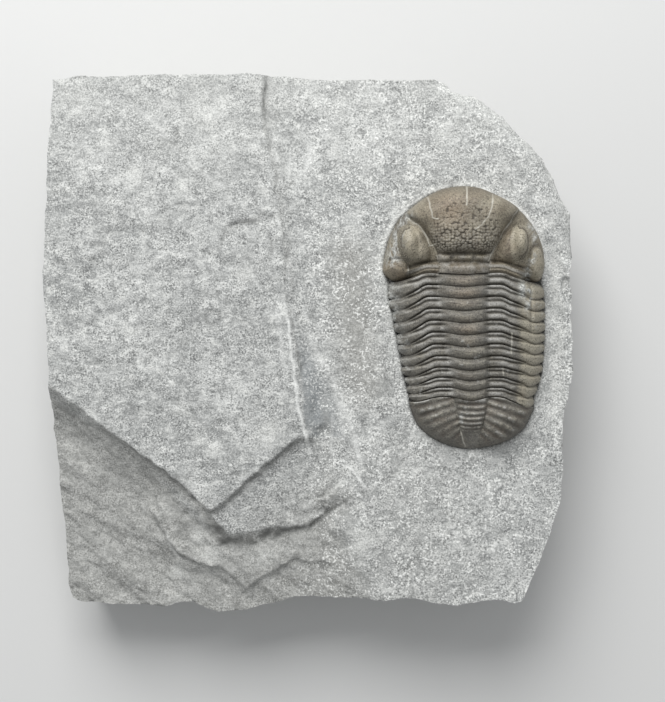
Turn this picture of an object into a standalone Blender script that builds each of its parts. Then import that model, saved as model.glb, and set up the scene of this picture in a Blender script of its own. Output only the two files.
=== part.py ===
"""Outstretched trilobite on its broken slab of grey limestone.

The slab lies on its back with the fossil upwards. +X is the right of the face, +Y its top edge, to
which the head points, and +Z goes out of the face. The origin is in the middle of the footprint, on
the underside. Sizes and places are in millimetres, and each mesh is made in metres.

The fossil is described in its own plan: across, from its midline, with the right positive, and back,
from the front of its head to its tail.
"""

import math

import bmesh
import bpy
import numpy as np
from mathutils import Vector
from mathutils.geometry import delaunay_2d_cdt

MM = 0.001

# Slab
FACE_LEVEL = 22.0           # underside to the bedding plane that the fossil lies on
FACE_SPACING = 4.4          # between the corners of the face's triangles
LEDGE_SPACING = 3.4         # between the corners along a ledge or the rim
LEDGE_WIDTH = 1.1           # plan width of a ledge's broken front
RIM_CHIP = 0.15             # how far the rim is broken back between its corners
POCKET_DEPTH = 2.0          # the hollow that the plates sit in, under the bedding plane
GAP = 0.3                   # between neighbouring pieces
JOINT_CLEARANCE = 0.18      # half of it at a joint, along the midline, as the joints run aslant

# Broken plates of the face, as heights over the bedding plane
UPPER_PLATE = 1.0           # the big smooth plate at the upper left
MIDDLE_PLATE = -1.2         # the tongue under its V-shaped ledge
LOWER_PLATE = -2.5          # the shelf under the tongue
FOOT_OF_FACE = -3.4         # the rough foot of the lower left, where it starts to fall away
FOOT_SLOPE = 0.13           # and how steeply it falls to the corner
TROUGH_DEPTH = 1.0          # of the channel between the big plate and the bedding plane

# Outline of the slab, clockwise from its upper left corner
SLAB_OUTLINE = [
    (-48.5, 50.4), (-44.4, 51.0), (-27.3, 51.4), (-12.1, 51.6), (-4.5, 51.2), (1.2, 50.6),
    (24.0, 50.6), (26.3, 50.1), (27.1, 48.4), (31.6, 47.6), (33.5, 46.5), (37.3, 43.8),
    (39.2, 41.3), (42.1, 38.7), (44.9, 35.6), (46.8, 32.4), (47.8, 29.2), (50.1, 25.4),
    (50.45, 16.8), (49.7, 14.0), (50.3, 9.2), (49.9, 6.4), (50.4, 0.7), (50.3, -5.0),
    (49.3, -10.7), (48.4, -14.5), (48.5, -24.0), (48.0, -29.7), (46.1, -35.4), (44.1, -41.0),
    (41.5, -46.8), (40.6, -48.7), (39.2, -49.1), (34.5, -48.4), (27.8, -49.5), (24.0, -49.1),
    (20.2, -48.0), (14.5, -48.7), (6.9, -48.7), (-2.6, -48.4), (-6.4, -49.7), (-12.1, -51.2),
    (-17.8, -51.6), (-19.7, -51.0), (-22.5, -49.7), (-25.4, -49.9), (-28.2, -50.8),
    (-38.7, -50.4), (-44.4, -50.1), (-46.3, -49.3), (-47.0, -46.5), (-47.4, -37.9),
    (-48.4, -27.5), (-48.7, -20.8), (-49.5, -16.1), (-49.5, -8.5), (-49.3, -3.1),
    (-50.3, 9.6), (-50.45, 14.0), (-49.9, 24.8), (-49.5, 37.1), (-48.7, 46.3),
]

# Edges of the broken plates, each with its plate on the left of the way it runs
UPPER_EDGE = [
    (-54.0, -6.0), (-49.5, -7.5), (-42.5, -12.3), (-37.7, -16.1), (-30.1, -21.8), (-24.4, -25.9),
    (-18.1, -31.6), (-13.0, -27.1), (-7.3, -21.8), (-1.6, -17.4), (0.0, -17.2), (-0.9, -10.4),
    (-2.0, -0.9), (-2.9, 6.7), (-4.7, 18.1), (-6.0, 27.6), (-7.3, 37.1), (-8.6, 41.0),
    (-8.6, 56.0),
]
MIDDLE_EDGE = [
    (-19.5, -30.0), (-17.8, -34.1), (-14.9, -37.0), (-11.1, -36.6), (-3.5, -35.1), (0.3, -34.1),
    (6.9, -29.4), (9.4, -26.5), (8.6, -20.0),
]
LOWER_EDGE = [
    (-29.5, -32.0), (-27.3, -37.0), (-24.4, -40.8), (-16.8, -42.7), (-12.1, -46.5), (-9.2, -44.6),
    (-3.5, -40.8), (6.0, -41.5), (14.0, -46.0), (17.0, -55.0),
]
BEDDING_EDGE = [
    (19.0, -56.0), (15.0, -44.0), (11.0, -34.0), (9.3, -26.2), (8.2, -20.0), (6.9, -10.4),
    (4.1, -5.0), (-0.7, 3.0), (-2.4, 8.7), (-3.5, 23.8), (-2.9, 37.1), (-4.0, 56.0),
]
SCALLOP_EDGE = [(-16.4, 20.0), (-13.0, 22.9), (-8.9, 23.5), (-6.6, 24.6)]
CHIPPED_RIM = [(26.0, 51.0), (33.0, 47.2), (38.2, 42.8), (45.0, 35.8), (50.0, 25.4), (50.6, 17.0)]

# Fossil, in plan
HEAD_TOP = 29.9             # the front of the head, as a height up the face
HEAD_MIDLINE = 28.7         # the midline of the head, across the face
TAIL_MIDLINE = 30.1         # and of the tail, which is a little turned to the right
HEAD_CENTRE = 0.73          # the middle of the head's outline, right of its midline
HEAD_HALF_WIDTH = 15.45
HEAD_LENGTH = 14.7          # front of the head to its widest place
HEAD_BACK = 16.5            # front of the head to the thorax, on the midline
SEGMENTS = 11
SEGMENT_PITCHES = [2.2] * 7 + [2.1] + [1.87] * 3
TAIL_FRONT = HEAD_BACK + sum(SEGMENT_PITCHES)
TAIL_LENGTH = 9.8
TAIL_CORNER = 3.0           # front of the tail, on the midline, to its front corners
TAIL_HALF_WIDTHS = (10.4, 11.9)
TAIL_RINGS = 8
TAIL_RIBS = 16 / 3          # ribs on each side, less closely spaced than the rings
MARK_STATIONS = [-3.0, -2.0, -1.0, 1.0, 2.0, 3.0]

# Fossil, as heights over the bedding plane
AXIS_HEIGHT = 8.6
# Profile of the head's crown: glabella, ring before the neck, neck furrow and neck ring
CROWN_PROFILE = [
    (0.0, 10.4), (9.5, 10.4), (11.5, 9.9), (12.6, 8.6), (13.1, 7.5), (13.6, 7.9), (14.3, 7.8),
    (14.7, 7.2), (15.2, 8.5), (16.2, 8.7), (16.9, 8.3),
]
# Lumps of the head: middle of the oval, its half sizes, and its height
EYES = [((-9.2, 11.3), (3.0, 3.9), 9.2), ((9.7, 11.2), (2.7, 3.9), 9.8)]
GENAL_LOBES = [((-12.4, 16.2), (2.4, 2.3), 3.2), ((14.0, 15.9), (2.0, 2.5), 4.0)]
UNDERSIDE = -(POCKET_DEPTH - GAP)
ROLL = 0.07                 # the fossil's left flank lies deeper than its right one
LEFT_EDGE = 0.2
RIGHT_EDGE = 0.5

# Relief along a segment, front to back: on the ring, the inner flank and the tips
SEGMENT_SHARES = [0.0, 0.2, 0.42, 0.8, 1.0]
RING_RELIEF = [-0.8, -0.75, 0.0, 0.0, -0.35]
PLEURA_RELIEF = [-0.3, 0.0, -0.4, 0.1, -0.3]
TIP_RELIEF = [-0.5, -0.1, 0.0, 0.0, -0.5]

# Materials: base colour, roughness
LIMESTONE = ("limestone", (0.43, 0.44, 0.42), 0.9)
SHELL = ("calcite_shell", (0.16, 0.135, 0.10), 0.55)
SHELL_THORAX = ("calcite_shell_thorax", (0.125, 0.115, 0.10), 0.5)


def clamp(value):
    return np.clip(value, 0.0, 1.0)


def ease(value):
    """Smooth step from 0 to 1."""
    t = clamp(value)
    return t * t * (3.0 - 2.0 * t)


def material(name, colour, roughness):
    made = bpy.data.materials.new(name)
    made.use_nodes = True
    shader = made.node_tree.nodes["Principled BSDF"]
    shader.inputs["Base Color"].default_value = (*colour, 1.0)
    shader.inputs["Roughness"].default_value = roughness
    shader.inputs["Metallic"].default_value = 0.0
    return made


def add_object(name, corners, faces, finish):
    """One closed mesh from corners in millimetres, triangulated, with its faces pointing out."""
    mesh = bpy.data.meshes.new(name)
    mesh.from_pydata([tuple(MM * c for c in corner) for corner in corners], [], faces)
    build = bmesh.new()
    build.from_mesh(mesh)
    bmesh.ops.triangulate(build, faces=build.faces)
    bmesh.ops.recalc_face_normals(build, faces=build.faces)
    build.to_mesh(mesh)
    build.free()
    mesh.materials.append(finish)
    piece = bpy.data.objects.new(name, mesh)
    bpy.context.scene.collection.objects.link(piece)
    return piece


def distance_to(x, y, line):
    """Distance from each place to an open line of straight runs."""
    nearest = np.full(np.shape(x), 1e9)
    for (ax, ay), (bx, by) in zip(line[:-1], line[1:]):
        run_x, run_y = bx - ax, by - ay
        along = clamp(((x - ax) * run_x + (y - ay) * run_y) / (run_x ** 2 + run_y ** 2))
        nearest = np.minimum(nearest, np.hypot(x - ax - along * run_x, y - ay - along * run_y))
    return nearest


def inside(x, y, polygon):
    """True where a place lies in a closed polygon, by counting its crossings."""
    within = np.zeros(np.shape(x), dtype=bool)
    for (ax, ay), (bx, by) in zip(polygon, polygon[1:] + polygon[:1]):
        if ay == by:
            continue
        crosses = ((ay > y) != (by > y)) & (x < ax + (y - ay) / (by - ay) * (bx - ax))
        within ^= crosses
    return within


def plate(x, y, edge, corners, width):
    """1 on a broken plate, and down to 0 across the width of the ledge in front of its edge."""
    over = inside(x, y, edge + corners)
    return np.where(over, 1.0, clamp(1.0 - distance_to(x, y, edge) / width))


def face_height(x, y):
    """Height of the slab's face over the bedding plane, from the lowest plate up to the highest."""
    x, y = np.asarray(x, dtype=float), np.asarray(y, dtype=float)
    fall = (-(x + 18.0) * 0.61 - (y + 31.6) * 0.79) * FOOT_SLOPE
    level = FOOT_OF_FACE - np.clip(fall, 0.0, 6.0)
    layers = [
        (LOWER_PLATE, LOWER_EDGE, [(30.0, -56.0), (30.0, 0.0), (-29.0, -20.0)], LEDGE_WIDTH),
        (MIDDLE_PLATE, MIDDLE_EDGE, [(0.0, 0.0), (-10.0, -10.0)], LEDGE_WIDTH),
        (0.0, BEDDING_EDGE, [(56.0, 56.0), (56.0, -56.0)], 1.6 + 9.0 * ease(-(y + 24.0) / 12.0)),
    ]
    trough = TROUGH_DEPTH * ease((20.0 - y) / 22.0)
    for height, edge, corners, width in layers:
        share = plate(x, y, edge, corners, width)
        level = level + share * (height - level)
        if edge is MIDDLE_EDGE:
            channel = inside(x, y, UPPER_EDGE[9:] + [(20.0, 56.0), (20.0, -18.0)])
            level = np.where(channel, -trough - 0.25, level)
    share = plate(x, y, UPPER_EDGE, [(-56.0, 56.0)], LEDGE_WIDTH)
    level = level + share * (UPPER_PLATE - level)
    dish = inside(x, y, SCALLOP_EDGE + [(-5.5, 14.0), (-17.0, 12.0)])
    level = level - 0.4 * dish * np.exp(-distance_to(x, y, SCALLOP_EDGE) / 4.0)
    level = level + 0.14 * np.sin(0.21 * x + 0.4) * np.cos(0.17 * y - 0.9)
    level = level + swell_beside_fossil(x, y)
    rim = distance_to(x, y, CHIPPED_RIM)
    return level - 2.4 * clamp(1.0 - rim / 2.6) ** 1.4


def swell_beside_fossil(x, y):
    """Stone left against the fossil's left flank, and the moat cut along its right one."""
    left = np.exp(-((x - 14.5) / 2.6) ** 2) * ease((18.0 - y) / 6.0) * ease((y + 16.0) / 8.0)
    right = np.exp(-((x - 46.6) / 1.9) ** 2) * ease((26.0 - y) / 8.0) * ease((y + 16.0) / 8.0)
    return 0.7 * left - 0.9 * right


def resample(line, spacing, closed=False):
    """Points along straight runs, with each run cut in equal lengths no longer than the spacing."""
    points = []
    ends = line[1:] + line[:1] if closed else line[1:]
    for (ax, ay), (bx, by) in zip(line, ends):
        count = max(1, math.ceil(math.hypot(bx - ax, by - ay) / spacing))
        points += [(ax + (bx - ax) * k / count, ay + (by - ay) * k / count) for k in range(count)]
    return points if closed else points + [line[-1]]


def slab_rim():
    """The slab's outline in short runs, whose new corners are broken back a little."""
    rim = resample(SLAB_OUTLINE, LEDGE_SPACING, closed=True)
    given = set(SLAB_OUTLINE)
    depth = RIM_CHIP * (1.0 + 0.6 * np.sin(1.7 * np.arange(len(rim))))
    broken = np.array(rim) - depth[:, None] * outward(rim)
    return [p if p in given else tuple(q) for p, q in zip(rim, broken)]


def outward(loop):
    """Unit normals of a clockwise loop, pointing away from what it surrounds."""
    points = np.array(loop)
    run = np.roll(points, -1, axis=0) - np.roll(points, 1, axis=0)
    normal = np.stack([-run[:, 1], run[:, 0]], axis=1)
    return normal / np.linalg.norm(normal, axis=1)[:, None]
def midline(back):
    return HEAD_MIDLINE + (TAIL_MIDLINE - HEAD_MIDLINE) * ease((back - 20.0) / 18.0)


def place(across, back):
    """Plan of the fossil to the face of the slab."""
    return midline(back) + across, HEAD_TOP - back


def marks_at(back):
    """Left tip, left fulcrum, left furrow, right furrow, right fulcrum and right tip, across."""
    share = clamp((back - 17.0) / 22.6)
    left_tip = 13.7 - 3.2 * share ** 1.1
    right_tip = 16.0 - 3.9 * share ** 2.5
    axis = 4.55 - 1.45 * share
    return [-left_tip, -8.2 + 0.5 * share, -axis, axis, 8.9 - 1.8 * share, right_tip]


def across_at(station, back):
    """Distance from the midline at a station: -3 is the left tip, -2 its fulcrum, -1 its furrow."""
    marks = marks_at(back)
    across = marks[0]
    for k, (start, end) in enumerate(zip(MARK_STATIONS[:-1], MARK_STATIONS[1:])):
        share = clamp((station - start) / (end - start))
        across = across + share * (marks[k + 1] - marks[k])
    return across


def flank_edge(station):
    """Height of the fossil's rim, a little higher on its right."""
    return LEFT_EDGE + (RIGHT_EDGE - LEFT_EDGE) * clamp(0.5 + station / 2.0)


def arch(station, back):
    """Height of the thorax's cross section: round axis, flat inner and steep outer flanks."""
    way = np.abs(station)
    top = AXIS_HEIGHT - 1.5 * ease((back - 26.0) / 16.0)
    furrow, shoulder = top - 1.9, top - 2.3
    ring = furrow + 1.9 * dome(way, 2.4, 0.55)
    inner = furrow + (shoulder - furrow) * clamp(way - 1.0) + 0.35 * np.sin(np.pi * clamp(way - 1.0))
    tilt = ROLL * across_at(np.clip(station, -2.0, 2.0), back)
    edge = flank_edge(station)
    outer = edge + (shoulder + tilt - edge) * dome(way - 2.0, 1.7, 0.75)
    return np.where(way < 1.0, ring + tilt, np.where(way < 2.0, inner + tilt, outer))


def dome(radius, power=2.0, round_off=0.5):
    """1 in the middle of a rounded lump, 0 at a radius of 1 and beyond."""
    return (1.0 - clamp(radius) ** power) ** round_off


def lump(across, back, middle, half_sizes, power=3.0):
    """A dome over an oval of the fossil's plan."""
    radius = np.hypot((across - middle[0]) / half_sizes[0], (back - middle[1]) / half_sizes[1])
    return dome(radius, power, 0.5)


def blend_up(low, high, width):
    """The higher of two heights, with a soft corner of some width where they meet."""
    share = clamp(0.5 + 0.5 * (high - low) / width)
    return low + share * (high - low) + width * share * (1.0 - share)


def joint_back(number, station):
    """Where the joint after a segment runs: bowed on the axis and swept back on the flanks."""
    back = HEAD_BACK + sum(SEGMENT_PITCHES[:number])
    sweep = 2.5 if number == SEGMENTS else 2.0 + 0.09 * number
    way = np.abs(station)
    return back + 0.35 * (1.0 - clamp(way) ** 2) + sweep * clamp(way - 2.0) ** 1.25


def tail_rim(angle, grow=0.0):
    """Place on the tail's outline, at an angle from -90 degrees, its left end, to 90."""
    share = np.sin(angle)
    width = np.where(share > 0, TAIL_HALF_WIDTHS[1], TAIL_HALF_WIDTHS[0])
    power = np.where(share > 0, 2.0, 1.7)
    reach = (1.0 - np.abs(share) ** power) ** (1.0 / power)
    return (width + grow) * share, TAIL_FRONT + TAIL_CORNER + (TAIL_LENGTH - TAIL_CORNER + grow) * reach


def fossil_outline():
    """Outline of the fossil with the gap round it, clockwise."""
    angles = np.radians(np.linspace(-90.0, 90.0, 27))
    front = (HEAD_CENTRE + (HEAD_HALF_WIDTH + GAP) * np.sin(angles),
             HEAD_LENGTH - (HEAD_LENGTH + GAP) * np.cos(angles))
    backs = np.array([17.9, 21.0, 24.5, 28.0, 31.5, 35.0, 38.5, 41.8])
    right = (marks_at(backs)[-1] + GAP + 0.25, backs)
    rear = tail_rim(np.radians(np.linspace(81.0, -81.0, 19)), GAP + 0.05)
    left_backs = backs[:0:-1]
    left = (marks_at(left_backs)[0] - GAP - 0.15, left_backs)
    corner = (np.array([HEAD_CENTRE - HEAD_HALF_WIDTH - GAP]), np.array([18.6]))
    runs = [front, right, rear, left, corner]
    x, y = place(np.concatenate([run[0] for run in runs]), np.concatenate([run[1] for run in runs]))
    return list(zip(x.tolist(), y.tolist()))


def slab(finish):
    """The stone: a relief of triangles on its face, rough walls, and a flat underside."""
    rim = slab_rim()
    pocket = fossil_outline()
    corners, triangles = face_triangles(rim, pocket)
    faces = [list(t) for t in triangles]
    faces += pocket_walls(corners, pocket)
    faces += slab_walls(corners, rim)
    return add_object("matrix_slab", corners, faces, finish)


def face_triangles(rim, pocket):
    """Delaunay triangles of the face, held to the rim, the pocket and the crests of the ledges."""
    points = [Vector(p) for p in rim] + [Vector(p) for p in pocket]
    edges = loop_edges(0, len(rim)) + loop_edges(len(rim), len(pocket))
    taken = np.array([tuple(p) for p in points])
    for line in (UPPER_EDGE, MIDDLE_EDGE, LOWER_EDGE, BEDDING_EDGE, SCALLOP_EDGE):
        crest = keep_clear(resample(line, LEDGE_SPACING), taken, 1.3)
        foot = keep_clear(ledge_foot(line), taken, 1.3)
        points += [Vector(p) for p in crest + foot]
        taken = np.array([tuple(p) for p in points])
    inner = np.array(rim) - 2.3 * outward(rim)
    points += [Vector(p) for p in keep_clear([tuple(p) for p in inner], taken, 1.4)]
    taken = np.array([tuple(p) for p in points])
    points += [Vector(p) for p in keep_clear(face_grid(), taken, 2.3)]
    result = delaunay_2d_cdt(points, edges, [], 0, 1e-6, False)
    flat = np.array([tuple(p) for p in result[0]])
    centres = np.array([flat[list(face)].mean(axis=0) for face in result[2]])
    kept = inside(centres[:, 0], centres[:, 1], rim) & ~inside(centres[:, 0], centres[:, 1], pocket)
    heights = FACE_LEVEL + face_height(flat[:, 0], flat[:, 1])
    corners = [(p[0], p[1], h) for p, h in zip(flat, heights)]
    return corners, [face for face, keep in zip(result[2], kept) if keep]


def loop_edges(start, count):
    return [(start + k, start + (k + 1) % count) for k in range(count)]


def ledge_foot(line):
    """Points where a ledge's broken front meets the plate below, beside each of its crest's."""
    points = np.array(resample(line, LEDGE_SPACING))
    run = np.gradient(points, axis=0)
    normal = np.stack([run[:, 1], -run[:, 0]], axis=1)
    normal = normal / np.linalg.norm(normal, axis=1)[:, None]
    return [tuple(p) for p in points + 1.5 * LEDGE_WIDTH * normal]


def face_grid():
    """Places all over the face, in offset rows with a seeded stir."""
    stir = np.random.default_rng(11)
    places = []
    rows = np.arange(-52.0, 52.0, FACE_SPACING * 0.87)
    for number, y in enumerate(rows):
        for x in np.arange(-52.0, 52.0, FACE_SPACING):
            shift = 0.5 * FACE_SPACING * (number % 2)
            dx, dy = stir.uniform(-0.9, 0.9, 2)
            places.append((x + shift + dx, y + dy))
    return places


def keep_clear(places, taken, room):
    """Those places on the stone that keep some room to the points already there."""
    kept = []
    rim = SLAB_OUTLINE
    pocket = fossil_outline()
    for x, y in places:
        if not inside(np.array(x), np.array(y), rim) or inside(np.array(x), np.array(y), pocket):
            continue
        others = np.array(kept) if kept else np.zeros((0, 2))
        near = np.vstack([taken, others])
        if np.min(np.hypot(near[:, 0] - x, near[:, 1] - y)) > room:
            kept.append((float(x), float(y)))
    return kept


def find(corners, place_wanted):
    """Index of the corner at a place of the plan."""
    return min(range(len(corners)), key=lambda k: math.dist(corners[k][:2], place_wanted))


def pocket_walls(corners, pocket):
    """Upright walls and the floor of the hollow under the fossil."""
    top = [find(corners, p) for p in pocket]
    floor = len(corners)
    corners += [(x, y, FACE_LEVEL - POCKET_DEPTH) for x, y in pocket]
    count = len(pocket)
    walls = [[top[k], top[(k + 1) % count], floor + (k + 1) % count, floor + k] for k in range(count)]
    return walls + [[floor + k for k in range(count)]]


def slab_walls(corners, rim):
    """Broken walls in rough courses, set back from the rim by turns, down to the flat underside."""
    above = [find(corners, p) for p in rim]
    normals = outward(rim)
    count = len(rim)
    steps = np.arange(count)
    faces = []
    top = np.array([corners[k][2] for k in above])
    courses = [(0.80, 0.5, 0.35), (0.52, 1.3, 0.6), (0.24, 0.9, 0.5), (0.07, 1.7, 0.5), (0.0, 3.4, 0.7)]
    for number, (share, inset, rough) in enumerate(courses):
        wave = np.sin(steps * 0.83 + 2.1 * number) + 0.6 * np.sin(steps * 1.91 + 1.3 * number)
        ring = np.array(rim) - normals * (inset + rough * wave)[:, None]
        start = len(corners)
        corners += [(x, y, share * h) for (x, y), h in zip(ring, top)]
        below = [start + k for k in range(count)]
        faces += [[above[k], above[(k + 1) % count], below[(k + 1) % count], below[k]] for k in range(count)]
        above = below
    return faces + [above[:]]


def block(name, x, y, height, finish):
    """A plate: a grid of rows and columns over the bedding plane, closed down to a flat underside."""
    row_count, column_count = x.shape
    corners = list(zip(x.ravel(), y.ravel(), FACE_LEVEL + height.ravel()))
    faces = grid_faces(row_count, column_count)
    index = np.arange(row_count * column_count).reshape(row_count, column_count)
    rim = list(index[0]) + list(index[1:, -1]) + list(index[-1, -2::-1]) + list(index[-2:0:-1, 0])
    start, count = len(corners), len(rim)
    corners += [(corners[k][0], corners[k][1], FACE_LEVEL + UNDERSIDE) for k in rim]
    faces += [[rim[k], rim[(k + 1) % count], start + (k + 1) % count, start + k] for k in range(count)]
    faces += underside(start, row_count, column_count)
    return add_object(name, corners, faces, finish)


def grid_faces(row_count, column_count):
    faces = []
    for r in range(row_count - 1):
        for c in range(column_count - 1):
            a = r * column_count + c
            faces.append([a, a + 1, a + column_count + 1, a + column_count])
    return faces


def underside(start, row_count, column_count):
    """Strip across the underside between its front and back edges, with a fan at each end."""
    last = column_count - 1
    back = start + last + row_count - 1
    total = 2 * last + 2 * (row_count - 1)
    faces = [[start + k, start + k + 1, back + last - k - 1, back + last - k] for k in range(last)]
    right = [start + last + r for r in range(row_count)]
    left = [start + (total - r) % total for r in range(row_count)]
    return faces + [right, left]


def spread(flank, pleura, axis):
    """Stations from the left tip to the right one, with a number of steps on each stretch."""
    left = np.concatenate([np.linspace(-3.0, -2.0, flank + 1)[:-1], np.linspace(-2.0, -1.0, pleura + 1)[:-1]])
    middle = np.linspace(-1.0, 1.0, axis + 1)
    return np.concatenate([left, middle, -left[::-1]])


def segment(number, finish):
    """One free plate of the thorax: a ring on the axis and a furrowed flank on each side."""
    station, share = np.meshgrid(spread(5, 3, 6), SEGMENT_SHARES)
    front = joint_back(number - 1, station) + JOINT_CLEARANCE
    rear = joint_back(number, station) - JOINT_CLEARANCE
    back = front + share * (rear - front)
    way = np.abs(station)
    ring, pleura, tip = (np.array(relief)[:, None] for relief in (RING_RELIEF, PLEURA_RELIEF, TIP_RELIEF))
    relief = ring + clamp((way - 0.7) / 0.6) * (pleura - ring) + clamp(way - 2.0) * (tip - pleura)
    relief = relief - 0.25 * np.exp(-((way - 1.0) / 0.12) ** 2)
    x, y = place(across_at(station, back), back)
    return block(f"thorax_segment_{number:02d}", x, y, arch(station, back) + relief, finish)


def head_plan(station, share):
    """Curved runs from the head's outline back to the thorax.

    Each is a quadratic curve from a place on the outline, whose angle grows with the station, to the
    joint, bent so that stations -1 and 1 follow the furrows on both sides of the glabella.
    """
    way = np.abs(station)
    angle = np.sign(station) * np.radians(50.0 * clamp(way) + 20.0 * np.clip(way - 1.0, 0.0, 2.0))
    rim = (HEAD_CENTRE + HEAD_HALF_WIDTH * np.sin(angle), HEAD_LENGTH * (1.0 - np.cos(angle)))
    joint = (across_at(station, HEAD_BACK), joint_back(0, station) - JOINT_CLEARANCE)
    bend = (joint[0] * (0.85 + 0.1 * np.clip(way - 1.0, 0.0, 2.0)), rim[1] + 0.64 * (joint[1] - rim[1]))
    return [(1 - share) ** 2 * r + 2 * share * (1 - share) * b + share ** 2 * j
            for r, b, j in zip(rim, bend, joint)]


def head_height(station, across, back):
    """Cheeks, glabella with its neck rings, eyes and genal lobes, the highest at each place."""
    way = np.abs(station)
    out = np.hypot((across - HEAD_CENTRE) / HEAD_HALF_WIDTH, np.minimum(back / HEAD_LENGTH - 1.0, 0.0))
    edge = flank_edge(station)
    tilt = ROLL * across * dome(out, 4.0, 1.0)
    crown = np.interp(back, *zip(*CROWN_PROFILE))
    furrow = np.interp(back, [5.0, 12.5, 14.5, 16.9], [6.2, 5.6, 6.3, 6.7])
    middle = edge + (furrow + (crown - furrow) * dome(way, 3.5, 0.5) - edge) * dome(out, 5.0, 0.5) + tilt
    to_joint = joint_back(0, station) - back
    neck = arch(station, HEAD_BACK)
    cheek = edge + (neck - 0.9 - edge) * dome(out, 3.0, 0.6)
    cheek = cheek + (neck - cheek) * ease((2.0 - to_joint) / 0.5)
    cheek = cheek - 0.5 * np.exp(-((to_joint - 2.3) / 0.35) ** 2)
    height = np.where(way < 1.0, middle, cheek)
    for middle_place, half_sizes, top in EYES:
        height = blend_up(height, top * lump(across, back, middle_place, half_sizes, 3.6), 0.5)
    for middle_place, half_sizes, top in GENAL_LOBES:
        height = blend_up(height, top * lump(across, back, middle_place, half_sizes, 2.4), 0.4)
    return height


def head_shield(finish):
    """The head shield, from its outline, as the first row, to the joint with the thorax."""
    station, share = np.meshgrid(spread(7, 6, 8), np.linspace(0.0, 1.0, 19) ** 1.05)
    across, back = head_plan(station, share)
    x, y = place(across, back)
    return block("head_shield", x, y, head_height(station, across, back), finish)


def tail_plan(station, share):
    """Rows that start along the joint with the thorax and swing round to the tail's outline.

    Each row is a quadratic curve from its ring on the midline to a place on the outline, so a ring
    goes on as a rib on each side.
    """
    way = np.abs(station)
    joint = (across_at(station, TAIL_FRONT), joint_back(SEGMENTS, station) + JOINT_CLEARANCE)
    start = TAIL_FRONT + 0.35 + JOINT_CLEARANCE
    ring_back = start + (TAIL_FRONT + TAIL_LENGTH - start) * share
    rim_across, rim_back = tail_rim(np.sign(station) * np.radians(90.0 - 74.0 * share ** 0.85))
    way_out = 0.25 * clamp(way) + 0.375 * np.clip(way - 1.0, 0.0, 2.0)
    bend = (0.62 * rim_across, ring_back + 0.3 * (rim_back - ring_back))
    near, mid, far = (1 - way_out) ** 2, 2 * way_out * (1 - way_out), way_out ** 2
    swung = (mid * bend[0] + far * rim_across, near * ring_back + mid * bend[1] + far * rim_back)
    turn = ease(share / 0.3)
    return [j + turn * (s - j) for j, s in zip(joint, swung)]


def tail_height(station, share):
    """The thorax's arch, falling to the rim, with rings on the axis and ribs on both sides."""
    way = np.abs(station)
    edge = flank_edge(station)
    fall = (1.0 - share ** 2.1) ** 0.8
    field = edge + (arch(station, TAIL_FRONT) - edge) * fall
    ring = -0.25 * np.cos(2.0 * np.pi * TAIL_RINGS * share) * ease((0.95 - share) / 0.15)
    rib = -0.25 * np.cos(2.0 * np.pi * TAIL_RIBS * share) * ease((2.9 - way) / 0.7)
    rib = rib * ease((1.05 - share) / 0.25)
    relief = ring + clamp((way - 0.8) / 0.4) * (rib - ring) - 0.2 * np.exp(-((way - 1.0) / 0.15) ** 2)
    return field + relief * fall ** 0.5


def tail_shield(finish):
    """The tail shield, from the joint with the thorax, as the first row, to its rounded rim."""
    station, share = np.meshgrid(spread(4, 4, 8), np.linspace(0.0, 1.0, 17))
    across, back = tail_plan(station, share)
    x, y = place(across, back)
    return block("tail_shield", x, y, tail_height(station, share), finish)


def main():
    for old in list(bpy.data.objects):
        bpy.data.objects.remove(old)
    shell, thorax_shell = material(*SHELL), material(*SHELL_THORAX)
    slab(material(*LIMESTONE))
    head_shield(shell)
    for number in range(1, SEGMENTS + 1):
        segment(number, thorax_shell)
    tail_shield(thorax_shell)


main()
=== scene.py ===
"""Looks of an outstretched trilobite on its broken slab of grey limestone.

The slab lies on its back, with the fossil upwards, on a pale floor. Sizes and places are in
millimetres, as in the solids, and each mesh is made in metres. The fossil has its own plan: across,
from its midline, with the right positive, and back, from the front of its head to its tail. Along a
plate, station -3 is the left tip, -2 the bend of the left flank, -1 the furrow left of the axis, and
1, 2 and 3 are the same on the right.
"""

import math

import bmesh
import bpy
import numpy as np
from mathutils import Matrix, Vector


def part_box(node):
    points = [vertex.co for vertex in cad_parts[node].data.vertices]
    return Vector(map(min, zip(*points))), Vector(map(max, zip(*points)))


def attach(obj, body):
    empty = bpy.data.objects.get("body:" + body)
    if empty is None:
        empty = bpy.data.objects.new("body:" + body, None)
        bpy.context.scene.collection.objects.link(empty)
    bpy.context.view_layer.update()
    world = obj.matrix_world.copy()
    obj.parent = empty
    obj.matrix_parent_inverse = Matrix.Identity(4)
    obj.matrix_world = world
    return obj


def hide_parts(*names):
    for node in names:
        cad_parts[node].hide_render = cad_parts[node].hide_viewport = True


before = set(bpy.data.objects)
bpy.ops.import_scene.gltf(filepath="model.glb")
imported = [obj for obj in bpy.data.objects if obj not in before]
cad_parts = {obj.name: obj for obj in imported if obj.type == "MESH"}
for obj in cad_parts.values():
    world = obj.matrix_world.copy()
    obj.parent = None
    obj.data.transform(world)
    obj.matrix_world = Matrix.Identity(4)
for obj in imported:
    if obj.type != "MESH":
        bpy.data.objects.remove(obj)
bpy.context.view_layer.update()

MM = 0.001

# Photograph's height in pixels, its scale, and where the camera stands
FRAME_HEIGHT = 702
FACE_MM_PER_PIXEL = 0.19
CAMERA_OVER_FACE = 240.0
CAMERA_ACROSS, CAMERA_UP = 4.56, -1.05
SENSOR = 36.0

# Studio, in metres: the floor's half size, the soft lamp and the sky
FLOOR_HALF = 1.5
KEY_SPOT = (-0.10, 0.40, 0.40)
KEY_AIM = (0.0, 0.0, 0.02)
KEY_POWER = 3.9
KEY_SIZE = 0.40
SKY_STRENGTH = 0.45

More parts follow.
